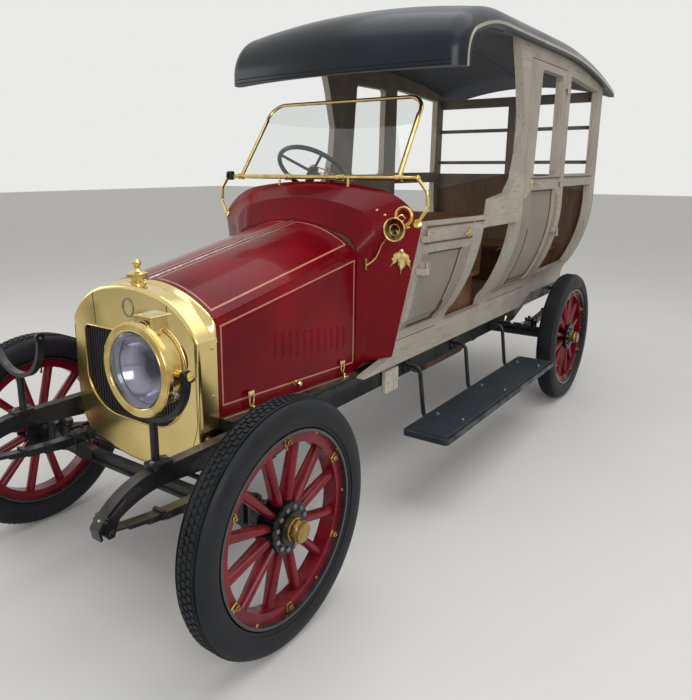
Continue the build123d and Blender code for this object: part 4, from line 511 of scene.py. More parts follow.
rubber = vulcanised_rubber()
for end, side_name, side, middle in wheels:
    centre = middle + Vector((side * wheel_out / 1000, 0, 0))
    tyre = bmesh.new()
    lathe(tyre, [(out / 1000, radius / 1000) for out, radius in tyre_section], centre, (1, 0, 0), 120)
    bmesh.ops.remove_doubles(tyre, verts=tyre.verts, dist=0.00005)
    for index in range(block_count):
        for column, out in enumerate(block_columns):
            degrees = 360 * (index + 0.5 * (column % 2)) / block_count
            radial = round_axle(degrees)
            tread_block(tyre, centre + Vector((side * out / 1000, 0, 0)) + radial * block_middle,
                        radial, round_axle(degrees + 90))
    made = piece(f"tyre_{end}_{side_name}_moulded", tyre, rubber, f"road_wheel_{end}_{side_name}", 32)
    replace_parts(made, f"tyre_{end}_{side_name}")

# Radiator: a shell of polished sheet brass with soldered seams, a blank oval and a turned cap.
# Its core is blackened: water tubes with thin fins threaded on them, and a bead round the opening.
seam_solder = polished("dull_solder", "#6F6144", "#4F4531", 0.45, 0.6)
enamel_rim = enamel("grey_green_enamel", "#7F8A72", "#66705C", 0.3, 0.02, 0.0001, 0.5)
sheet_brass = polished("planished_sheet_brass", "#EAD596", "#D3B974", 0.15, 0.24, 0.35, 0.0004)
coat(sheet_brass, "radiator_shell")


def wave_scale(pitch):
    """A wave texture's scale for stripes a distance apart, in metres."""
    return 2 * math.pi / 20 / pitch


def blackened_core():
    """Lamp-black on tinned tubes: dead matt, with fins every 3 mm, drawn at 6 mm so that they show; the
    fins are painted lighter and the gaps darker, as painted light and shade.
    """
    material, tree, place = new_material("blackened_core")
    fins = add(tree, "TexWave", {"bands_direction": "Z", "Scale": wave_scale(0.006)}, {"Vector": place})
    # The colour bands paint light on the fins and shade in the gaps between them.
    tone = add(tree, "Mix", {"data_type": "RGBA", 6: linear("#0C0D11"), 7: linear("#23252D")}, {0: fins})
    relief = add(tree, "Bump", {"Strength": 0.8, "Distance": 0.001}, {"Height": fins})
    return surfaced(material, {"Roughness": 0.62}, {"Base Color": tone, "Normal": relief})


coat(blackened_core(), "radiator_core")
face = -12
bead = bmesh.new()
core_edge = [spot(left, face - 1, up)
             for left, up in ((-280, 795), (-280, 973), (-273, 988), (-258, 995),
                              (258, 995), (273, 988), (280, 973), (280, 795))]
core_edge += arc(spot(84, face - 1, 795), (0.196, 0, 0), (0, 0, -0.150), 8, 90, 9)
core_edge += arc(spot(-84, face - 1, 795), (-0.196, 0, 0), (0, 0, -0.150), 90, 8, 9)
tube(bead, core_edge, 0.0035, closed=True)
cap_ribs = 28
half_rib = Vector((0, 0, 0.006))
for rib in arc(spot(0, 40, 1211), (0.0375, 0, 0), (0, 0.0375, 0), 0, 360, cap_ribs)[:-1]:
    tube(bead, [rib - half_rib, rib + half_rib], 0.0022, sides=6)
piece("radiator_bead_and_cap_ribs", bead, brass, "chassis")
seams = bmesh.new()
for side in (-1, 1):
    tube(seams, [spot(side * 206, face - 0.4, 1004), spot(side * 214, face - 0.4, 1128)], 0.0013, sides=6)
    tube(seams, [spot(side * 300, face - 0.4, 560), spot(side * 347, face - 0.4, 700),
                 spot(side * 347, face - 0.4, 985)], 0.0009, sides=6)
piece("radiator_seams", seams, seam_solder, "chassis")
blank_oval = bmesh.new()
hoop(blank_oval, spot(0, face - 1, 1095), 0.030, 0.034, 0.0032, 36)
piece("blank_oval_rim", blank_oval, enamel_rim, "chassis")
shell_bolts = bmesh.new()
for side in (-1, 1):
    for up in (618, 800, 980):
        dome(shell_bolts, spot(side * 361, 60, up), (side, 0, 0), 0.006, 0.004)
    nut(shell_bolts, spot(side * 374, 36, 636), (0, 0, 1), 0.010, 0.009)
piece("radiator_side_screws", shell_bolts, brass, "chassis")

# Bonnet ledge: a brass band soldered round the shell, flared out to carry the bonnet's front edge.
# It is of the same sheet as the shell, and a small gap keeps the paint off it.
bonnet_nodes = ("bonnet_side_left", "bonnet_side_right", "bonnet_top_left", "bonnet_top_right")
ledge_start, ledge_end = 22, 158
ledge_steps = 45
ledge_section = (
    # behind, share of the rise, depth under the surface
    (62, 0, -0.3), (70, 0.25, 0), (78, 0.75, 0), (84, 1, 0),
    (88, 1, 0.4), (88, 1, 5), (80, 0.6, 4), (64, 0, 2),
)
skins = {}


def on_skin(name, start, way):
    """Where a ray meets a CAD node, and the outward normal there."""
    if name not in skins:
        mesh = nodes[name].data
        skins[name] = BVHTree.FromPolygons([v.co for v in mesh.vertices],
                                           [list(f.vertices) for f in mesh.polygons])
    place, normal = skins[name].ray_cast(start, way)[:2]
    if place is None:
        return None
    return place, normal if normal.dot(way) < 0 else -normal


def reach_to(names, middle, outward):
    """How far the outermost of some CAD nodes stands from a point in one direction."""
    hits = [on_skin(name, middle + outward * 0.8, -outward) for name in names]
    return max((hit[0] - middle).length for hit in hits if hit)


ledge = bmesh.new()
ledge_rings = []
for step in range(ledge_steps + 1):
    angle = math.radians(ledge_start + (ledge_end - ledge_start) * step / ledge_steps)
    outward = Vector((math.cos(angle), 0, math.sin(angle)))
    shell_reach = reach_to(("radiator_shell",), spot(0, 82, 850), outward)
    bonnet_reach = reach_to(bonnet_nodes, spot(0, 92, 850), outward)
    rise = max(0.001, bonnet_reach - 0.001 - shell_reach)
    ledge_rings.append([
        ledge.verts.new(spot(0, behind, 850) + outward * (shell_reach + rise * share - under / 1000))
        for behind, share, under in ledge_section
    ])
skin(ledge, ledge_rings, ends=True)
piece("radiator_bonnet_ledge", ledge, sheet_brass, "chassis", 50)

# Headlamp: a spun brass drum with a turned rim, a vented chimney and a silvered bowl behind glass.
# It hangs by two trunnions in a forged fork that is bolted on the frame. The other fork is empty.
coat(brass, "headlamp_left")
lamp_left = 390
lamp_behind = -245
lamp_up = 993
lamp_front = lamp_behind - 62


def from_lamp_axis(point):
    """Distance from the lamp's axis in millimetres."""
    return 1000 * math.hypot(point.x - lamp_left / 1000, point.z - lamp_up / 1000)


def silver_with_painted_reflection():
    """Silver plate on the spun copper bowl: bright at its edge, blue-black in the middle, partly
    smoke-blackening and partly a painted dark reflection.
    """
    material, tree, place = new_material("silver_with_painted_reflection")
    from_axis = add(tree, "Mapping", {"Location": (-lamp_left / 1000, 0, -lamp_up / 1000),
                                      "Scale": (1, 0, 1)}, {"Vector": place})
    away = add(tree, "VectorMath", {"operation": "LENGTH"}, {0: from_axis})
    ragged_edge_noise = add(tree, "TexNoise", {"Scale": 22.0, "Detail": 4.0}, {"Vector": place})
    ragged = add(tree, "Math", {"operation": "MULTIPLY_ADD", 1: 0.03}, {0: ragged_edge_noise, 2: away.outputs["Value"]})
    beyond_painted_reflection = add(tree, "MapRange", {"From Min": 0.070, "From Max": 0.105}, {"Value": ragged})
    tone = add(tree, "Mix", {"data_type": "RGBA", 6: linear("#1A2038"), 7: linear("#B4B2BC")}, {0: beyond_painted_reflection})
    sheen = add(tree, "MapRange", {"To Min": 0.34, "To Max": 0.16}, {"Value": beyond_painted_reflection})
    return surfaced(material, {"Metallic": 1.0}, {"Base Color": tone, "Roughness": sheen})


bowl_start = spot(0, lamp_front + 7, 0).y
bowl_end = spot(0, lamp_front + 114, 0).y
bowl_radius = 119
# The bowl's middle is painted blue-black: partly smoke-blackening, partly a painted dark reflection.
recoat("headlamp_left", silver_with_painted_reflection(),
       lambda c, n: bowl_start < c.y < bowl_end and from_lamp_axis(c) < bowl_radius)


def clear_glass(name, tint, rough):
    """Blown window or lens glass: nearly clear, with a faint ripple that bends what is behind it."""
    material, tree, place = new_material(name)
    ripple = unevenness(tree, place, 1 / 6, 1.0, 0.1, 0.001)
    return surfaced(material, {"Base Color": linear(tint), "Roughness": rough, "IOR": 1.45,
                               "Transmission Weight": 1.0}, {"Normal": ripple})


lamp_lens = bmesh.new()
lathe(lamp_lens, ((0.010, 0), (0.009, 0.05), (0.006, 0.09), (0, 0.122), (0.003, 0.1245), (0.006, 0.120),
                  (0.0115, 0.09), (0.0145, 0.05), (0.0155, 0)),
      spot(lamp_left, lamp_front + 6, lamp_up), (0, -1, 0), 56)
lens_glass = clear_glass("lens_glass", "#E9EAF2", 0.02)
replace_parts(piece("headlamp_domed_lens", lamp_lens, lens_glass, "chassis"), "headlamp_glass")
lamp_rim = bmesh.new()
for radius, wire, ahead in ((0.1275, 0.0025, 1), (0.147, 0.004, 4), (0.1275, 0.003, 98)):
    hoop(lamp_rim, spot(lamp_left, lamp_front + ahead, lamp_up), radius, radius, wire, 56)
slab(lamp_rim, spot(lamp_left, lamp_behind + 22, 1156), (0.082, 0.086, 0.005), 0.0015)
lathe(lamp_rim, ((0, 0.016), (0.010, 0.016), (0.014, 0.008), (0.030, 0.006), (0.034, 0)),
      spot(lamp_left, lamp_front + 110, lamp_up), (0, -1, 0), 20)
chimney_up = 1124
hoop(lamp_rim, spot(lamp_left, lamp_behind - 18.5, chimney_up), 0.029, 0.019, 0.0025, 32)
for side in (-1, 1):
    lathe(lamp_rim, ((0, 0.015), (0.004, 0.017), (0.010, 0.017), (0.014, 0.011), (0.015, 0)),
          spot(lamp_left + side * 181, lamp_behind, lamp_up), (side, 0, 0), 20)
hinge_pin = Vector((-0.94, 0, 0.34)) * 0.152
tube(lamp_rim, [spot(lamp_left, lamp_front + behind, lamp_up) + hinge_pin for behind in (6, 30)], 0.007)
piece("headlamp_rings_and_burner", lamp_rim, brass, "chassis")
# A thin black disc at the chimney's front stands in for the vent's opening: painted shade.
vent_shade_disc = bmesh.new()
lathe(vent_shade_disc, ((0, 0), (0, 0.0285), (0.0015, 0.0285), (0.0015, 0)), (0, 0, 0), (0, -1, 0), 36)
bmesh.ops.scale(vent_shade_disc, vec=(1, 1, 0.66), verts=vent_shade_disc.verts)
bmesh.ops.translate(vent_shade_disc, vec=spot(lamp_left, lamp_behind - 17.6, chimney_up), verts=vent_shade_disc.verts)
piece("headlamp_vent_painted_shade", vent_shade_disc, hub_black, "chassis")
lamp_knob = bmesh.new()
knob_way = Vector((0.855, 0, -0.518))
lathe(lamp_knob, ((-0.006, 0), (-0.006, 0.006), (0.006, 0.006), (0.008, 0.011), (0.018, 0.011),
                  (0.021, 0.008), (0.021, 0)),
      spot(lamp_left, lamp_behind - 5, lamp_up) + knob_way * 0.128, knob_way, 18)
for left in (lamp_left, -lamp_left):
    for behind in (lamp_behind - 28, lamp_behind + 28):
        nut(lamp_knob, spot(left + math.copysign(16, left), behind, 674), (0, 0, 1), 0.009, 0.008)
piece("lamp_knob_and_fork_nuts", lamp_knob, bare_steel, "chassis")


# Bonnet: four rolled steel panels under crimson coach enamel, flatted and varnished.
# Piano hinges join them, catches hold the sides down, and a fine salmon line is drawn round each.
def coach_enamel():
    """Deep crimson under clear varnish: soft cloudy depth, fine dust nibs and a slight hand-made wave."""
    material, tree, place = new_material("crimson_coach_enamel")
    tone, sheen = mottle(tree, place, 3.5, 5.0, (0.3, 0.7), ("#640010", "#820213"), (0.2, 0.32))[1:]
    nibs = unevenness(tree, place, 0.004, 2.0, 0.1, 0.0001)
    relief = unevenness(tree, place, 0.2, 0.0, 0.25, 0.003, nibs)
    return surfaced(material, {"Coat Weight": 0.16, "Coat Roughness": 0.03, "Specular IOR Level": 0.08},
                    {"Base Color": tone, "Roughness": sheen, "Normal": relief})


crimson = coach_enamel()
lining_paint = enamel("salmon_lining_paint", "#C98A70", "#B3765C", 0.35, 0.03, 0.0001, 0.3)
coat(crimson, "scuttle", *bonnet_nodes)


def stripe(shape, name, points, width, way, proud=0.0005):
    """A flat band of paint or trim along points, laid on a CAD node as seen looking that way."""
    way = Vector(way).normalized()
    step = 0.012
    sunk = -0.0005
    for start, end in zip(points, points[1:]):
        run = end - start
        half = run.cross(way).normalized() * width / 2
        reach = run.normalized() * width / 2
        count = max(2, round(run.length / step))
        before = None
        for k in range(count + 1):
            middle = start - reach + (run + 2 * reach) * k / count
            hits = [on_skin(name, middle + side * half - way * 0.25, way) for side in (-1, 1)]
            if None in hits:
                before = None
                continue
            (place, normal), (far_place, far_normal) = hits
            ring = [shape.verts.new(corner) for corner in (
                place + normal * sunk, place + normal * proud,
                far_place + far_normal * proud, far_place + far_normal * sunk)]
            if before:
                skin(shape, (before, ring))
            else:
                shape.faces.new(ring)
            before = ring
            last = ring
        if before:
            shape.faces.new(last)


def piano_hinge(shape, start, end, radius, count=30):
    """A row of hinge knuckles with small gaps between them."""
    step = (end - start) / count
    for k in range(count):
        tube(shape, [start + step * (k + 0.04), start + step * (k + 0.96)], radius, sides=12)


side_line_corners = ((109, 1050), (968, 1192), (968, 712), (109, 751))
top_line_corners = ((34, 106), (34, 966), (318, 966), (316, 106))
line_width = 0.0065
bonnet_knob = ((-0.004, 0), (-0.004, 0.013), (0.003, 0.012), (0.006, 0.006), (0.014, 0.006), (0.017, 0.012),
               (0.026, 0.013), (0.031, 0.008), (0.032, 0))
for side_name, side in both_sides:
    side_line = bmesh.new()
    corners = [spot(side * 380, *corner) for corner in side_line_corners]
    stripe(side_line, f"bonnet_side_{side_name}", corners + corners[:1], line_width, (-side, 0, 0))
    piece(f"bonnet_side_line_{side_name}", side_line, lining_paint, f"bonnet_side_{side_name}")
    top_line = bmesh.new()
    corners = [spot(side * left, behind, 1500) for left, behind in top_line_corners]
    stripe(top_line, f"bonnet_top_{side_name}", corners + corners[:1], line_width, (0, 0, -1))
    piece(f"bonnet_top_line_{side_name}", top_line, lining_paint, f"bonnet_top_{side_name}")
    knuckles = bmesh.new()
    piano_hinge(knuckles, spot(side * 346.5, 92, 1077.4), spot(side * 350, 981, 1238.5), 0.0052)
    piece(f"bonnet_side_hinge_{side_name}", knuckles, crimson, f"bonnet_top_{side_name}")
    catches = bmesh.new()
    for behind, low, high in ((243, 712, 764), (868, 690, 739)):
        link = arc(spot(side * 378, behind, (low + high) / 2), (0, 0.012, 0), (0, 0, (high - low) / 2000),
                   0, 360, 24)
        tube(catches, link[:-1], 0.0035, closed=True)
        slab(catches, spot(side * 374, behind, high), (0.014, 0.034, 0.018), 0.003)
        for rivet in (-11, 11):
            dome(catches, spot(side * 381, behind + rivet, high), (side, 0, 0), 0.0035, 0.0025)
    lathe(catches, bonnet_knob, spot(side * 366, 531, 727), (side, 0, 0), 20)
    piece(f"bonnet_catches_{side_name}", catches, brass, f"bonnet_side_{side_name}")
    feet = bmesh.new()
    for behind, up in ((243, 699), (868, 670)):
        slab(feet, spot(side * 388, behind, up), (0.026, 0.036, 0.010), 0.002)
        lathe(feet, ((0, 0.006), (0.010, 0.006), (0.013, 0.003), (0.013, 0)),
              spot(side * 388, behind, up + 5), (0, 0, 1), 12)
    tube(feet, [spot(side * 374, 96, 704), spot(side * 382, 984, 663)], 0.0035)
    piece(f"bonnet_catch_feet_{side_name}", feet, brass, "chassis")
centre_hinge = bmesh.new()
piano_hinge(centre_hinge, spot(0, 92, 1187), spot(0, 981, 1350.5), 0.0062)
piece("bonnet_centre_hinge", centre_hinge, bare_steel, "chassis")

# Scuttle and horn: a beaten steel cowl, with a brass trumpet horn and its bulb tube on it.
# Inside the horn's mouth the brass is painted dark as shade in the bell, round a dark throat, and its tube
# runs forward to a clip.
coat(brass, "horn")
horn_mouth_painted_shade = polished("horn_brass_painted_shade", "#7E6538", "#2B2114", 0.14, 0.30, 0.02)
horn_left, horn_up = 552, 1338
horn_axis = spot(horn_left, 1013, horn_up)
horn_mouth = 0.046
# Faces looking forward inside the mouth get the dark brass: painted shade.
recoat("horn", horn_mouth_painted_shade, lambda c, n: n.y < -0.2 and c.y < horn_axis.y
       and math.hypot(c.x - horn_axis.x, c.z - horn_axis.z) < horn_mouth)
horn_trim = bmesh.new()
hoop(horn_trim, spot(horn_left, 999, horn_up), 0.051, 0.051, 0.0035, 40)
hoop(horn_trim, spot(horn_left, 1004, horn_up), 0.024, 0.024, 0.002, 28)
tube(horn_trim, [spot(*p) for p in (
    (520, 1012, 1306), (494, 1022, 1288), (470, 1030, 1262), (455, 1034, 1232), (442, 1036, 1206),
    (428, 1030, 1188), (414, 1022, 1176), (405, 1012, 1168))], 0.0045)
clip_place, clip_normal = on_skin("scuttle", spot(700, 800, 1172), Vector((-0.6, 0.44, 0)).normalized())
slab(horn_trim, clip_place + clip_normal * 0.003, (0.012, 0.020, 0.052), 0.002)
for rise in (0.018, -0.018):
    dome(horn_trim, clip_place + clip_normal * 0.006 + Vector((0, 0, rise)), clip_normal, 0.005, 0.003)
for left, up in ((412, 1414), (450, 1393), (470, 1330), (600, 1300)):
    found = on_skin("scuttle", spot(left, 700, up), Vector((0, 1, 0)))
    if found:
        dome(horn_trim, *found, 0.0065, 0.005)
piece("horn_fittings", horn_trim, brass, "chassis")

# Leaf bracket: three cast brass leaves, one over two, that hide the foot of the horn's stay.
# Each is a closed plate with a crowned face, lobed edges and a rib down its middle.
leaf_rows = 15
half_columns = 4
leaf_thickness = 0.0025
leaves = (
    # lean in degrees, length, half width, height over the cowl
    (-34, 0.088, 0.020, 0.003), (30, 0.098, 0.020, 0.004), (0, 0.104, 0.027, 0.008),
)
bracket = bmesh.new()
stay_foot, leaf_normal = on_skin("scuttle", spot(524, 700, 1232), Vector((0, 1, 0)))
skin_across = Vector((0, 0, 1)).cross(leaf_normal).normalized()
skin_up = leaf_normal.cross(skin_across).normalized()


def cast_leaf(shape, lean, length, half, lift):
    """One leaf: rings round its front and back, from stem to tip, and a rib."""
    down = skin_across * math.sin(math.radians(lean)) - skin_up * math.cos(math.radians(lean))
    across = down.cross(leaf_normal)
    rings = []
    for row in range(leaf_rows):
        share = row / (leaf_rows - 1)
        lobes = 0.72 + 0.28 * abs(math.cos(share * math.pi * 3))
        half_width = max(0.002, half * math.sin(math.pi * min(share + 0.08, 0.96)) * lobes)
        front = []
        for column in range(-half_columns, half_columns + 1):
            out = column / half_columns
            crown = 0.009 * (1 - out ** 2) * math.sin(math.pi * (0.1 + 0.8 * share)) + lift
            front.append(stay_foot + down * share * length + across * half_width * out
                         + leaf_normal * crown)
        back = [corner - leaf_normal * leaf_thickness for corner in reversed(front)]
        rings.append([shape.verts.new(corner) for corner in front + back])
    skin(shape, rings)
    for ring in (rings[0], rings[-1]):
        for k in range(2 * half_columns):
            shape.faces.new((ring[k], ring[k + 1], ring[-2 - k], ring[-1 - k]))
    tube(shape, [stay_foot + down * share * length + leaf_normal * (lift + height)
                 for share, height in ((0.06, 0.003), (0.5, 0.0085), (0.94, 0.003))], 0.0018)


for lean, length, half, lift in leaves:
    cast_leaf(bracket, lean, length, half, lift)
dome(bracket, stay_foot + leaf_normal * 0.010 + skin_up * 0.002, leaf_normal, 0.011, 0.009)
scroll = ((0.012, 0.150), (-0.004, 0.168), (-0.022, 0.160), (-0.024, 0.142), (-0.008, 0.134),
          (0.004, 0.144))
tube(bracket, [stay_foot + skin_across * along + skin_up * rise + leaf_normal * 0.012
               for along, rise in scroll], 0.0035)
dome(bracket, stay_foot + skin_across * -0.046 + skin_up * 0.098 + leaf_normal * 0.004, leaf_normal,
     0.011, 0.010)
piece("horn_leaf_bracket", bracket, brass, "chassis")

# Windscreen: brass tube on S-shaped brackets, a raked upper frame with one pane in it.
# Hinge clamps join the frame to the bar. The one at the right end is blackened.
coat(brass, "windscreen_frame")
coat(clear_glass("window_glass", "#F2F6F5", 0.0), "windscreen_glass")
bar_behind, bar_up = 1157, 1556
clamps = bmesh.new()
for left in (-480, -160, 160, 480):
    lathe(clamps, ((-0.017, 0.011), (-0.017, 0.0155), (0.017, 0.0155), (0.017, 0.011)),
          spot(left, bar_behind, bar_up), (1, 0, 0), 20)
    nut(clamps, spot(left, bar_behind - 14, bar_up), (0, -1, 0), 0.008, 0.007)
for side in (-1, 1):
    lathe(clamps, ((-0.006, 0), (-0.006, 0.013), (0.004, 0.015), (0.010, 0.011), (0.012, 0)),
          spot(side * 574, bar_behind, bar_up), (side, 0, 0), 20)
    bracket_foot = on_skin("scuttle", spot(side * 585, 900, 1356), Vector((0, 1, 0)))
    if bracket_foot:
        lathe(clamps, ((-0.004, 0), (-0.004, 0.021), (0.003, 0.020), (0.006, 0.011), (0.006, 0)),
              *bracket_foot, 20)
piece("windscreen_clamps", clamps, brass, "chassis")
black_clamp = bmesh.new()
slab(black_clamp, spot(-552, 1150, 1560), (0.030, 0.040, 0.046), 0.006)
tube(black_clamp, [spot(-552, 1126, 1548), spot(-552, 1122, 1574)], 0.005)
piece("windscreen_black_clamp", black_clamp, hub_black, "chassis")
putty = bmesh.new()
screen_up = (spot(0, 1420, 1930) - spot(0, bar_behind, bar_up)).normalized()
for side in (-1, 1):
    foot = spot(side * 468, bar_behind, bar_up)
    top = foot + screen_up * 0.36 - Vector((side * 0.014, 0, 0))
    tube(putty, [foot + screen_up * 0.02, top], 0.004, sides=8)
piece("windscreen_glazing_strips", putty, hub_black, "chassis")

# Steering: a wheel with a blackened wooden rim on four steel spokes, and a brass hub.
# Two small levers stand on a curved rod above it.
rim_wood = enamel("ebonised_beech", "#2B2622", "#171412", 0.3, 0.02, 0.0002, 0.4)
coat(rim_wood, "steering_wheel")
steer_centre = spot(-330, 1600, 1580)
steer_axis = (steer_centre - spot(-330, 842, 640)).normalized()
steer_right, steer_up = frame_of(steer_axis)
spoke_end = 0.19
recoat("steering_wheel", chassis_black, lambda c, n: (c - steer_centre).length < spoke_end)
levers = bmesh.new()
lathe(levers, ((0.012, 0.024), (0.018, 0.028), (0.026, 0.026), (0.034, 0.012), (0.040, 0.010), (0.042, 0)),
      steer_centre, steer_axis, 24)
lever_rod = arc(steer_centre + steer_axis * 0.046, steer_right * 0.075, steer_up * 0.075, 20, 160, 18)
tube(levers, lever_rod, 0.004)
for turn in (55, 120):
    outward = steer_right * math.cos(math.radians(turn)) + steer_up * math.sin(math.radians(turn))
    tube(levers, [steer_centre + steer_axis * rise + outward * reach
                  for rise, reach in ((0.034, 0), (0.050, 0.06), (0.054, 0.105))], 0.0035)
    lathe(levers, ((0, 0), (0, 0.006), (0.010, 0.009), (0.016, 0.006), (0.018, 0)),
          steer_centre + steer_axis * 0.052 + outward * 0.100, outward, 12)
piece("steering_hub_and_levers", levers, brass, "steering_wheel")

# Body: ash framing and panels in grey-beige primer, lighter on the faces that look along the car.
# Grain lifts through the paint. Inside, the boards are brown ply, painted darker as shade, and the ash
# above them is a darker copy of the primer: painted shade.
grain_width, grain_length = 0.005, 0.16
ring_width, ring_length = 0.008, 0.22
plank_joint = 0.0025


def primed_wood(name, light, dark, grain_axis):
    """Brushed primer on ash: its open grain runs along an axis and stands as dark fine lines."""
    material, tree, place = new_material(name)
    stretch = [1 / grain_width] * 3
    stretch[grain_axis] = 1 / grain_length
    along_grain = add(tree, "Mapping", {"Scale": stretch}, {"Vector": place})
    fibre = add(tree, "TexNoise", {"Scale": 1.0, "Detail": 5.0, "Roughness": 0.65}, {"Vector": along_grain})
    open_pores = add(tree, "MapRange", {"From Min": 0.30, "From Max": 0.48}, {"Value": fibre})
    tone, sheen = mottle(tree, place, 5.0, 4.0, (0.3, 0.7), (dark, light), (0.68, 0.84))[1:]
    stained = add(tree, "Mix", {"data_type": "RGBA", 6: linear("#867D71")}, {0: open_pores, 7: tone})
    relief = add(tree, "Bump", {"Strength": 0.3, "Distance": 0.0004}, {"Height": open_pores})
    return surfaced(material, {"Specular IOR Level": 0.3},
                    {"Base Color": stained, "Roughness": sheen, "Normal": relief})


def bare_wood(name, light, dark, grain_axis, plank_axis, plank, rough):
    """Oiled boards: each plank has its own tone, dark joints between planks, and flame-like rings."""
    material, tree, place = new_material(name)
    parts = add(tree, "SeparateXYZ", links={"Vector": place})
    row = add(tree, "Math", {"operation": "DIVIDE", 1: plank}, {0: parts.outputs["XYZ"[plank_axis]]})
    plank_number = add(tree, "Math", {"operation": "FLOOR"}, {0: row})
    plank_tone = add(tree, "TexWhiteNoise", {"noise_dimensions": "1D"}, {"W": plank_number})
    stretch = [1 / ring_width] * 3
    stretch[grain_axis] = 1 / ring_length
    along_grain = add(tree, "Mapping", {"Scale": stretch}, {"Vector": place})
    shifted = add(tree, "VectorMath", {"operation": "ADD"}, {0: along_grain, 1: plank_number})
    fibre = add(tree, "TexNoise", {"Scale": 1.0, "Detail": 6.0, "Distortion": 0.6}, {"Vector": shifted})
    rings = add(tree, "MapRange", {"From Min": 0.33, "From Max": 0.66}, {"Value": fibre})
    tone = add(tree, "Mix", {"data_type": "RGBA", 6: linear(dark), 7: linear(light)}, {0: rings})
    varied = add(tree, "Mix", {"data_type": "RGBA", "blend_type": "MULTIPLY", 0: 0.3},
                 {6: tone, 7: plank_tone.outputs["Value"]})
    share = add(tree, "Math", {"operation": "FRACT"}, {0: row})
    joint = add(tree, "Math", {"operation": "LESS_THAN", 1: plank_joint / plank}, {0: share})
    jointed = add(tree, "Mix", {"data_type": "RGBA", 7: linear("#1A120C")}, {0: joint, 6: varied})
    sheen = add(tree, "MapRange", {"To Min": rough, "To Max": rough + 0.14}, {"Value": rings})
    height = add(tree, "Math", {"operation": "SUBTRACT"}, {0: rings, 1: joint})
    relief = add(tree, "Bump", {"Strength": 0.4, "Distance": 0.0006}, {"Height": height})
    return surfaced(material, {"Specular IOR Level": 0.35},
                    {"Base Color": jointed, "Roughness": sheen, "Normal": relief})


along_car, upright = 1, 2
primer_long = primed_wood("primed_ash_along", "#B3AB9F", "#A29A8E", along_car)
primer_post = primed_wood("primed_ash_upright", "#AFA79C", "#9C948A", upright)
lighter_primer = primed_wood("lighter_primed_ash", "#C9C1B3", "#B7AD9E", upright)
primer_panel = primed_wood("primed_panel", "#978E84", "#857C72", upright)
inside_ash_painted_shade = primed_wood("ash_inside_painted_shade", "#8D8275", "#6E645A", upright)
inside_ply_painted_shade = bare_wood("brown_ply_painted_shade", "#7A604B", "#594536", upright, along_car, 0.30, 0.55)
side_nodes = (
    # node, body, side
    ("body_frame_left", "chassis", 1), ("body_frame_right", "chassis", -1),
    ("front_door_left", "front_door_left", 1),
    ("rear_door_left", "rear_door_left", 1), ("rear_door_right", "rear_door_right", -1),
)
# Heights are in metres. A face counts as facing a way when its normal points that far along it.
posts_from_to = ((0.797, 1.295), (1.566, 2.126))
front_panel_from, front_panel_to = 0.83, 1.22
rear_panel_from, rear_panel_to = 0.85, 1.46
ply_top, wall_ply_top = 1.27, 1.5
facing_in, facing_out, facing_endways = 0.6, 0.5, 0.7
for name, body, side in side_nodes:
    coat(primer_long, name)
    recoat(name, primer_post, lambda c, n: any(low < c.z < high for low, high in posts_from_to))
    # Faces that look along the car get the lighter primer.
    recoat(name, lighter_primer, lambda c, n: abs(n.y) > facing_endways)
    # Faces that look into the body get darker copies of the wood: painted shade.
    recoat(name, inside_ash_painted_shade, lambda c, n: n.x * side < -facing_in and c.z > ply_top)
    recoat(name, inside_ply_painted_shade, lambda c, n: n.x * side < -facing_in and c.z < ply_top)
recoat("front_door_left", primer_panel,
       lambda c, n: front_panel_from < c.z < front_panel_to and n.x > facing_out)
fixed_panel_end = spot(0, 1560, 0).y
for name, side in (("rear_door_left", 1), ("rear_door_right", -1), ("body_frame_right", -1)):
    recoat(name, primer_panel, lambda c, n: rear_panel_from < c.z < rear_panel_to
           and n.x * side > facing_out and (name.startswith("rear") or c.y < fixed_panel_end))
coat(primer_long, "rear_wall")
# The rear wall's inside faces get the same darker copies: painted shade.
recoat("rear_wall", inside_ash_painted_shade, lambda c, n: n.y < -facing_in and c.z > wall_ply_top)
recoat("rear_wall", inside_ply_painted_shade, lambda c, n: n.y < -facing_in and c.z < wall_ply_top)
# The bulkhead is all dark brown ply: its own colour darkened as painted shade.
coat(inside_ply_painted_shade, "bulkhead")

# Beads: half-round strips of brown-stained ash, bent round the panels and along the rails.
# They are glued and pinned, and brass screws hold the framing.
bead_brown = bare_wood("brown_stained_bead", "#6E5442", "#503C2F", along_car, upright, 0.5, 0.5)
front_bay = [(1262, 843), (1262, 1212), (1554, 1212), (1528, 843), (1262, 843)]
rear_bay = [(2450, 905), (2434, 1462), (2868, 1462), (2868, 905), (2450, 905)]
beads = {
    # runs of (behind, up)
    "front_door_left": (front_bay, [(1214, 1338), (1632, 1338)], [(1214, 1262), (1632, 1262)]),
    "body_frame_right": (front_bay, [(1214, 1338), (1730, 1338)], [(3060, 1540), (3720, 1540)]),
    "body_frame_left": ([(1656, 1338), (1738, 1338)], [(3060, 1540), (3720, 1540)]),
    "rear_door_left": (rear_bay, [(2416, 1538), (2952, 1538)]),
    "rear_door_right": (rear_bay, [(2416, 1538), (2952, 1538)]),
}
frame_screws = ((1690, 2260, 3005, 3780), (840, 1010, 1180, 1350, 1510, 1700, 1900))
rear_door_screws = ((2395, 2925), (870, 1030, 1190, 1350, 1510))
screws = {
    # columns behind, rows up
    "front_door_left": ((1225, 1610), (850, 1000, 1150, 1300)),
    "body_frame_left": frame_screws, "body_frame_right": frame_screws,
    "rear_door_left": rear_door_screws, "rear_door_right": rear_door_screws,
}
skin_face = 720
inside_face = 0.47
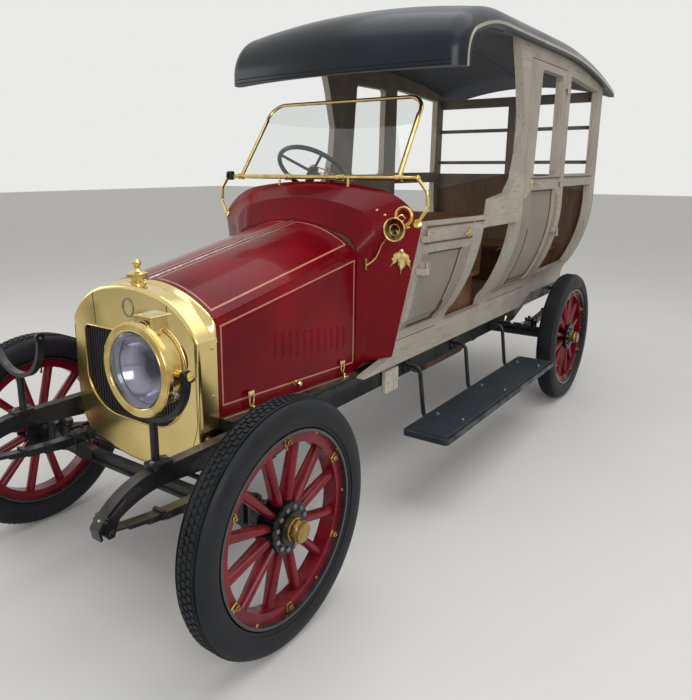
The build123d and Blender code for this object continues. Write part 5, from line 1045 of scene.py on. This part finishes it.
for name, body, side in side_nodes:
    bead = bmesh.new()
    for run in beads[name]:
        stripe(bead, name, [spot(side * skin_face, *corner) for corner in run], 0.008, (-side, 0, 0), 0.004)
    piece(f"beads_{name}", bead, bead_brown, body, 50)
    heads = bmesh.new()
    for behind, up in itertools.product(*screws[name]):
        found = on_skin(name, spot(side * skin_face, behind, up), Vector((-side, 0, 0)))
        if found and abs(found[0].x) > inside_face:
            dome(heads, *found, 0.0055, 0.0018)
    piece(f"screws_{name}", heads, brass, body)

# Window corners: small hollow-cut blocks of ash glued into the corners of the door windows.
# They round the opening off, and are primed with the door.
corner_radius = 34
let_in = 4
window_corners = (
    # behind, up, way back and way up from the corner into the opening
    (2440, 1550, 1, 1), (2495, 2150, 1, -1), (2880, 2150, -1, -1), (2876, 1550, -1, 1),
)
for name, side in (("rear_door_left", 1), ("rear_door_right", -1)):
    blocks = bmesh.new()
    for behind, up, back, rise in window_corners:
        start = spot(side * skin_face, behind - back * 12, up - rise * 12)
        door_face = on_skin(name, start, Vector((-side, 0, 0)))[0]
        outline = [(behind - back * let_in, up - rise * let_in),
                   (behind - back * let_in, up + rise * corner_radius)]
        for turn in range(9):
            angle = math.radians(90 * turn / 8)
            outline.append((behind + back * corner_radius * (1 - math.cos(angle)),
                            up + rise * corner_radius * (1 - math.sin(angle))))
        outline.append((behind + back * corner_radius, up - rise * let_in))
        rings = []
        for depth in (0.0015, 0.042):
            rings.append([blocks.verts.new((door_face.x - side * depth, *spot(0, *corner).yz))
                          for corner in outline])
        skin(blocks, rings, ends=True)
    piece(f"window_corners_{name}", blocks, primer_post, name)

# Door furniture: brass lever handles outside and barrel latches inside, each on a small plate.
# A steel bracket stands on the post behind the open bay.
handles = (
    # door, side, behind, up, way the lever points
    ("front_door_left", 1, 1598, 1292, -1), ("rear_door_left", 1, 2420, 1510, 1),
    ("rear_door_right", -1, 2420, 1510, 1),
)
for name, side, behind, up, way in handles:
    furniture = bmesh.new()
    found, normal = on_skin(name, spot(side * skin_face, behind, up), Vector((-side, 0, 0)))
    slab(furniture, found + normal * 0.001, (0.004, 0.030, 0.052), 0.001)
    lathe(furniture, ((0, 0.011), (0.006, 0.010), (0.010, 0.006), (0.020, 0.006), (0.020, 0)),
          found, normal, 16)
    tube(furniture, [found + normal * 0.020 + Vector((0, way * along, rise))
                     for along, rise in ((0, 0), (0.03, 0.003), (0.07, -0.004), (0.09, -0.002))], 0.005)
    inside, inward = on_skin(name, spot(side * 300, behind, up), Vector((side, 0, 0)))
    slab(furniture, inside + inward * 0.004, (0.010, 0.060, 0.024), 0.002)
    tube(furniture, [inside + inward * 0.012 + Vector((0, along, 0)) for along in (-0.026, 0.026)], 0.005)
    piece(f"latch_{name}", furniture, brass, name)
stay = bmesh.new()
stay_place, stay_normal = on_skin("body_frame_left", spot(300, 2262, 1130), Vector((1, 0, 0)))
stay_end = stay_place + stay_normal * 0.03
slab(stay, stay_place + stay_normal * 0.004, (0.008, 0.05, 0.03), 0.002)
tube(stay, [stay_place + stay_normal * 0.008, stay_end, stay_end + Vector((0, -0.04, -0.01))], 0.004)
piece("second_bay_bracket", stay, bare_steel, "chassis")

# Roof: black leathercloth on a wooden frame, stretched down over the edge, with a dark blue cloth lining.
# A pale moulding covers the cloth's edge, pale partly as a painted reflection on the rolled edge, with a
# doubled drip line below, and piping marks the seams.
def leathercloth():
    """Oiled cotton duck with a pebble grain of 2 mm, drawn at 4 mm: blue-black with a soft gloss."""
    material, tree, place = new_material("black_leathercloth")
    tone, sheen = mottle(tree, place, 2.5, 5.0, (0.3, 0.7), ("#0A1016", "#131D26"), (0.24, 0.38))[1:]
    pebbles = add(tree, "TexVoronoi", {"Scale": 1 / 0.004}, {"Vector": place})
    relief = add(tree, "Bump", {"Strength": 0.35, "Distance": 0.0004}, {"Height": pebbles})
    return surfaced(material, {"Coat Weight": 0.12, "Coat Roughness": 0.12, "Specular IOR Level": 0.25},
                    {"Base Color": tone, "Roughness": sheen, "Normal": relief})


def lining_cloth():
    """Plain-woven wool lining: dark blue, matt with a faint nap. The 1 mm threads are drawn at 3 mm."""
    material, tree, place = new_material("dark_blue_lining_cloth")
    warp = add(tree, "TexWave", {"bands_direction": "X", "Scale": wave_scale(0.003)}, {"Vector": place})
    weft = add(tree, "TexWave", {"bands_direction": "Y", "Scale": wave_scale(0.003)}, {"Vector": place})
    weave = add(tree, "Math", {"operation": "MULTIPLY"}, {0: warp, 1: weft})
    cloud = add(tree, "TexNoise", {"Scale": 3.0, "Detail": 4.0}, {"Vector": place})
    tone = add(tree, "Mix", {"data_type": "RGBA", 6: linear("#171B26"), 7: linear("#282F40")}, {0: cloud})
    relief = add(tree, "Bump", {"Strength": 0.3, "Distance": 0.0005}, {"Height": weave})
    return surfaced(material, {"Roughness": 0.88, "Sheen Weight": 0.2},
                    {"Base Color": tone, "Normal": relief})


roof_cloth = leathercloth()
coat(roof_cloth, "roof")
lining_out = 0.668
front_lining_out = 0.66
front_lining_end = spot(0, 1600, 0).y
recoat("roof", lining_cloth(), lambda c, n: n.z < -0.25 and abs(c.x) < lining_out
       or (n.y > 0.3 and abs(c.x) < front_lining_out and c.y < front_lining_end))
roof_top = 2.402
lip = spot(0, 1247, 2040)
lip_rise = 0.045
lip_radius = 0.26
front_slope = math.radians(21)
arch_start = lip + Vector((0, lip_radius * (1 - math.sin(front_slope)),
                           lip_rise + lip_radius * math.cos(front_slope)))
front_radius = (roof_top - arch_start.z) / (1 - math.cos(front_slope))
rear_start = spot(0, 2750, 2402)
rear_radius = 5.95
roof_end = spot(0, 4060, 0).y


def roof_path(depth):
    """The roof's ridge line, offset inward by a depth, as points from the lip to the rear."""
    path = [Vector((0, lip.y + depth, lip.z + rise)) for rise in (0, lip_rise)]
    steep = math.pi / 2 - front_slope
    last_turn = math.asin((roof_end - rear_start.y) / rear_radius)
    bends = (
        # centre, radius, turns from the top, forward ones negative
        (lip + Vector((0, lip_radius, lip_rise)), lip_radius,
         [steep * k / 12 - math.pi / 2 for k in range(1, 13)]),
        (arch_start + front_radius * Vector((0, math.sin(front_slope), -math.cos(front_slope))),
         front_radius, [-front_slope * (1 - k / 8) for k in range(1, 9)]),
        (rear_start - Vector((0, 0, rear_radius)), rear_radius, [last_turn * k / 12 for k in range(13)]),
    )
    for centre, radius, turns in bends:
        path += [centre + (radius - depth) * Vector((0, math.sin(turn), math.cos(turn))) for turn in turns]
    return path


def ribbon(shape, path, out_from, out_to, width):
    """A band of that width along the roof's edge, centred on a path, between two distances out."""
    rings = []
    for k, point in enumerate(path):
        ahead = path[min(k + 1, len(path) - 1)] - path[max(k - 1, 0)]
        inward = Vector((1, 0, 0)).cross(ahead).normalized() * width / 2
        rings.append([shape.verts.new(point + Vector((out, 0, 0)) + inward * sign)
                      for out, sign in ((out_from, -1), (out_to, -0.8), (out_to, 0.8), (out_from, 1))])
    skin(shape, rings, ends=True)


def traced_piping(shape, name, starts, way, sunk):
    """Round piping laid where rays from a row of points meet a CAD node, let in by a depth."""
    found = [on_skin(name, start, Vector(way)) for start in starts]
    tube(shape, [hit[0] + Vector(way) * sunk for hit in found if hit], 0.003, sides=8)


edge_in, edge_out = 0.688, 0.6935
moulding_depth, moulding_width = 0.124, 0.017
drip_depths, drip_width = (0.1385, 0.1445), 0.0035
# The moulding's pale colour is partly a painted reflection on the roof's rolled edge.
pale_edge_painted_reflection = enamel("pale_moulding_painted_reflection", "#A39A8B", "#857D70", 0.25, 0.2, 0.0002, 0.5)
for side_name, side in both_sides:
    moulding = bmesh.new()
    ribbon(moulding, roof_path(moulding_depth), side * edge_in, side * edge_out, moulding_width)
    piece(f"roof_moulding_{side_name}", moulding, pale_edge_painted_reflection, "chassis")
    drip = bmesh.new()
    for depth in drip_depths:
        ribbon(drip, roof_path(depth), side * edge_in, side * edge_out, drip_width)
    piece(f"roof_drip_line_{side_name}", drip, hub_black, "chassis")
piping_half = 640
seam = bmesh.new()
across_roof = [spot(piping_half * (k / 12 - 1), 1900, 1500) for k in range(25)]
along_roof = [spot(0, behind, 1500) for behind in range(1560, 4000, 80)]
for starts in (across_roof, along_roof):
    traced_piping(seam, "roof", starts, (0, 0, 1), -0.002)
piece("roof_lining_seams", seam, enamel("grey_piping", "#6B7180", "#555B69", 0.6, 0.03), "chassis")
lip_trim = bmesh.new()
for up in (2048, 2066):
    starts = [spot(piping_half * (k / 20 - 1), 900, up) for k in range(41)]
    traced_piping(lip_trim, "roof", starts, (0, 1, 0), 0)
piece("roof_lip_piping", lip_trim, roof_cloth, "chassis")

# Floor and benches: pine floor boards, oiled brown, and benches of varnished beech boards.
# The benches' boards are screwed down side by side, each with its edges rounded.
floor_boards = bare_wood("oiled_pine_floor", "#7A5A3E", "#563C28", along_car, 0, 0.14, 0.6)
bench_boards = bare_wood("varnished_beech_bench", "#7C5536", "#573823", 0, along_car, 0.12, 0.36)
coat(floor_boards, "floor")
coat(bench_boards, "front_seat", "rear_seat")
bench_slats = bmesh.new()
bench_width = 0.86
slat_count = 5
slat_gap = 7
back_slats = 3
back_start, back_step = 0.075, 0.105
for front, rear, top in ((1748, 2212, 1006), (3312, 3768, 1016)):
    slat = (rear - front) / slat_count
    for k in range(slat_count):
        slab(bench_slats, spot(0, front + slat * (k + 0.5), top + 3),
             (bench_width, (slat - slat_gap) / 1000, 0.010), 0.003)
back_up = (spot(0, 2272, 1330) - spot(0, 2226, 980)).normalized()
back_turn = Matrix((Vector((1, 0, 0)), Vector((1, 0, 0)).cross(back_up), back_up)).transposed()
for k in range(back_slats):
    slab(bench_slats, spot(0, 2206, 980) + back_up * (back_start + back_step * k),
         (bench_width, 0.010, 0.090), 0.003, back_turn)
piece("bench_slats", bench_slats, bench_boards, "chassis")

# Running boards: wooden boards in dark blue-grey enamel, with a ribbed rubber mat and a steel edge.
# Forged irons carry them, bolted to the frame, and nuts hold each board to its irons.
board_enamel = enamel("blue_grey_board_enamel", "#262E36", "#1B2229", 0.38, 0.1, 0.0003, 0.2, 0.2)
binding = polished("blackened_steel_binding", "#55595E", "#34373B", 0.3, 0.5)


def ribbed_mat():
    """Moulded rubber matting: blue-black, with ribs 10 mm apart that hold grey dust between them."""
    material, tree, place = new_material("ribbed_rubber_mat")
    ribs = add(tree, "TexWave", {"bands_direction": "X", "Scale": wave_scale(0.010)}, {"Vector": place})
    cloud = add(tree, "TexNoise", {"Scale": 7.0, "Detail": 6.0}, {"Vector": place})
    dusty = add(tree, "Math", {"operation": "SUBTRACT"}, {0: cloud, 1: ribs})
    spread = add(tree, "MapRange", {"From Min": -0.4, "From Max": 0.5}, {"Value": dusty})
    tone = add(tree, "Mix", {"data_type": "RGBA", 6: linear("#151D24"), 7: linear("#2E3A42")}, {0: spread})
    relief = add(tree, "Bump", {"Strength": 0.7, "Distance": 0.002}, {"Height": ribs})
    return surfaced(material, {"Roughness": 0.5, "Specular IOR Level": 0.3},
                    {"Base Color": tone, "Normal": relief})


coat(board_enamel, "running_boards")
mat_rubber = ribbed_mat()
irons_behind = (1370, 1930, 2500)
board_middle = 1860
board_length = 1.520
for side_name, side in both_sides:
    mat = bmesh.new()
    slab(mat, spot(side * 702, board_middle, 393.5), (0.200, board_length + 0.010, 0.005), 0.0015)
    piece(f"running_board_mat_{side_name}", mat, mat_rubber, "chassis")
    edge = bmesh.new()
    slab(edge, spot(side * 818, board_middle, 380), (0.005, board_length, 0.028), 0.0015)
    slab(edge, spot(side * 810, board_middle, 393), (0.018, board_length, 0.003), 0.001)
    for behind in range(1140, 2640, 120):
        dome(edge, spot(side * 810, behind, 394.3), (0, 0, 1), 0.004, 0.002)
    piece(f"running_board_binding_{side_name}", edge, binding, "chassis")
    board_nuts = bmesh.new()
    for behind in irons_behind:
        for left, radius in ((635, 0.013), (770, 0.009)):
            nut(board_nuts, spot(side * left, behind - 24, 396), (0, 0, 1), radius, 0.008, 0.003)
    piece(f"running_board_nuts_{side_name}", board_nuts, bare_steel, "chassis")
iron_feet = bmesh.new()
for side in (-1, 1):
    for behind in irons_behind:
        for across, up in itertools.product((-20, 20), (587, 638)):
            nut(iron_feet, spot(side * 439, behind + across, up), (side, 0, 0), 0.008, 0.007)
        slab(iron_feet, spot(side * 705, behind, 364), (0.170, 0.044, 0.005), 0.0015)
piece("iron_nuts_and_plates", iron_feet, chassis_black, "chassis")

# Rail block: a block of ash, thinly primed, bolted to the left rail ahead of the running board.
# It is sawn square, with its edges taken off.
block_behind, block_up = 1189, 583
rail_block = bmesh.new()
slab(rail_block, spot(446, block_behind, block_up), (0.026, 0.124, 0.116), 0.004)
for offset in (-44, 44):
    nut(rail_block, spot(459, block_behind + offset, block_up), (1, 0, 0), 0.008, 0.007)
piece("rail_block", rail_block, lighter_primer, "chassis")
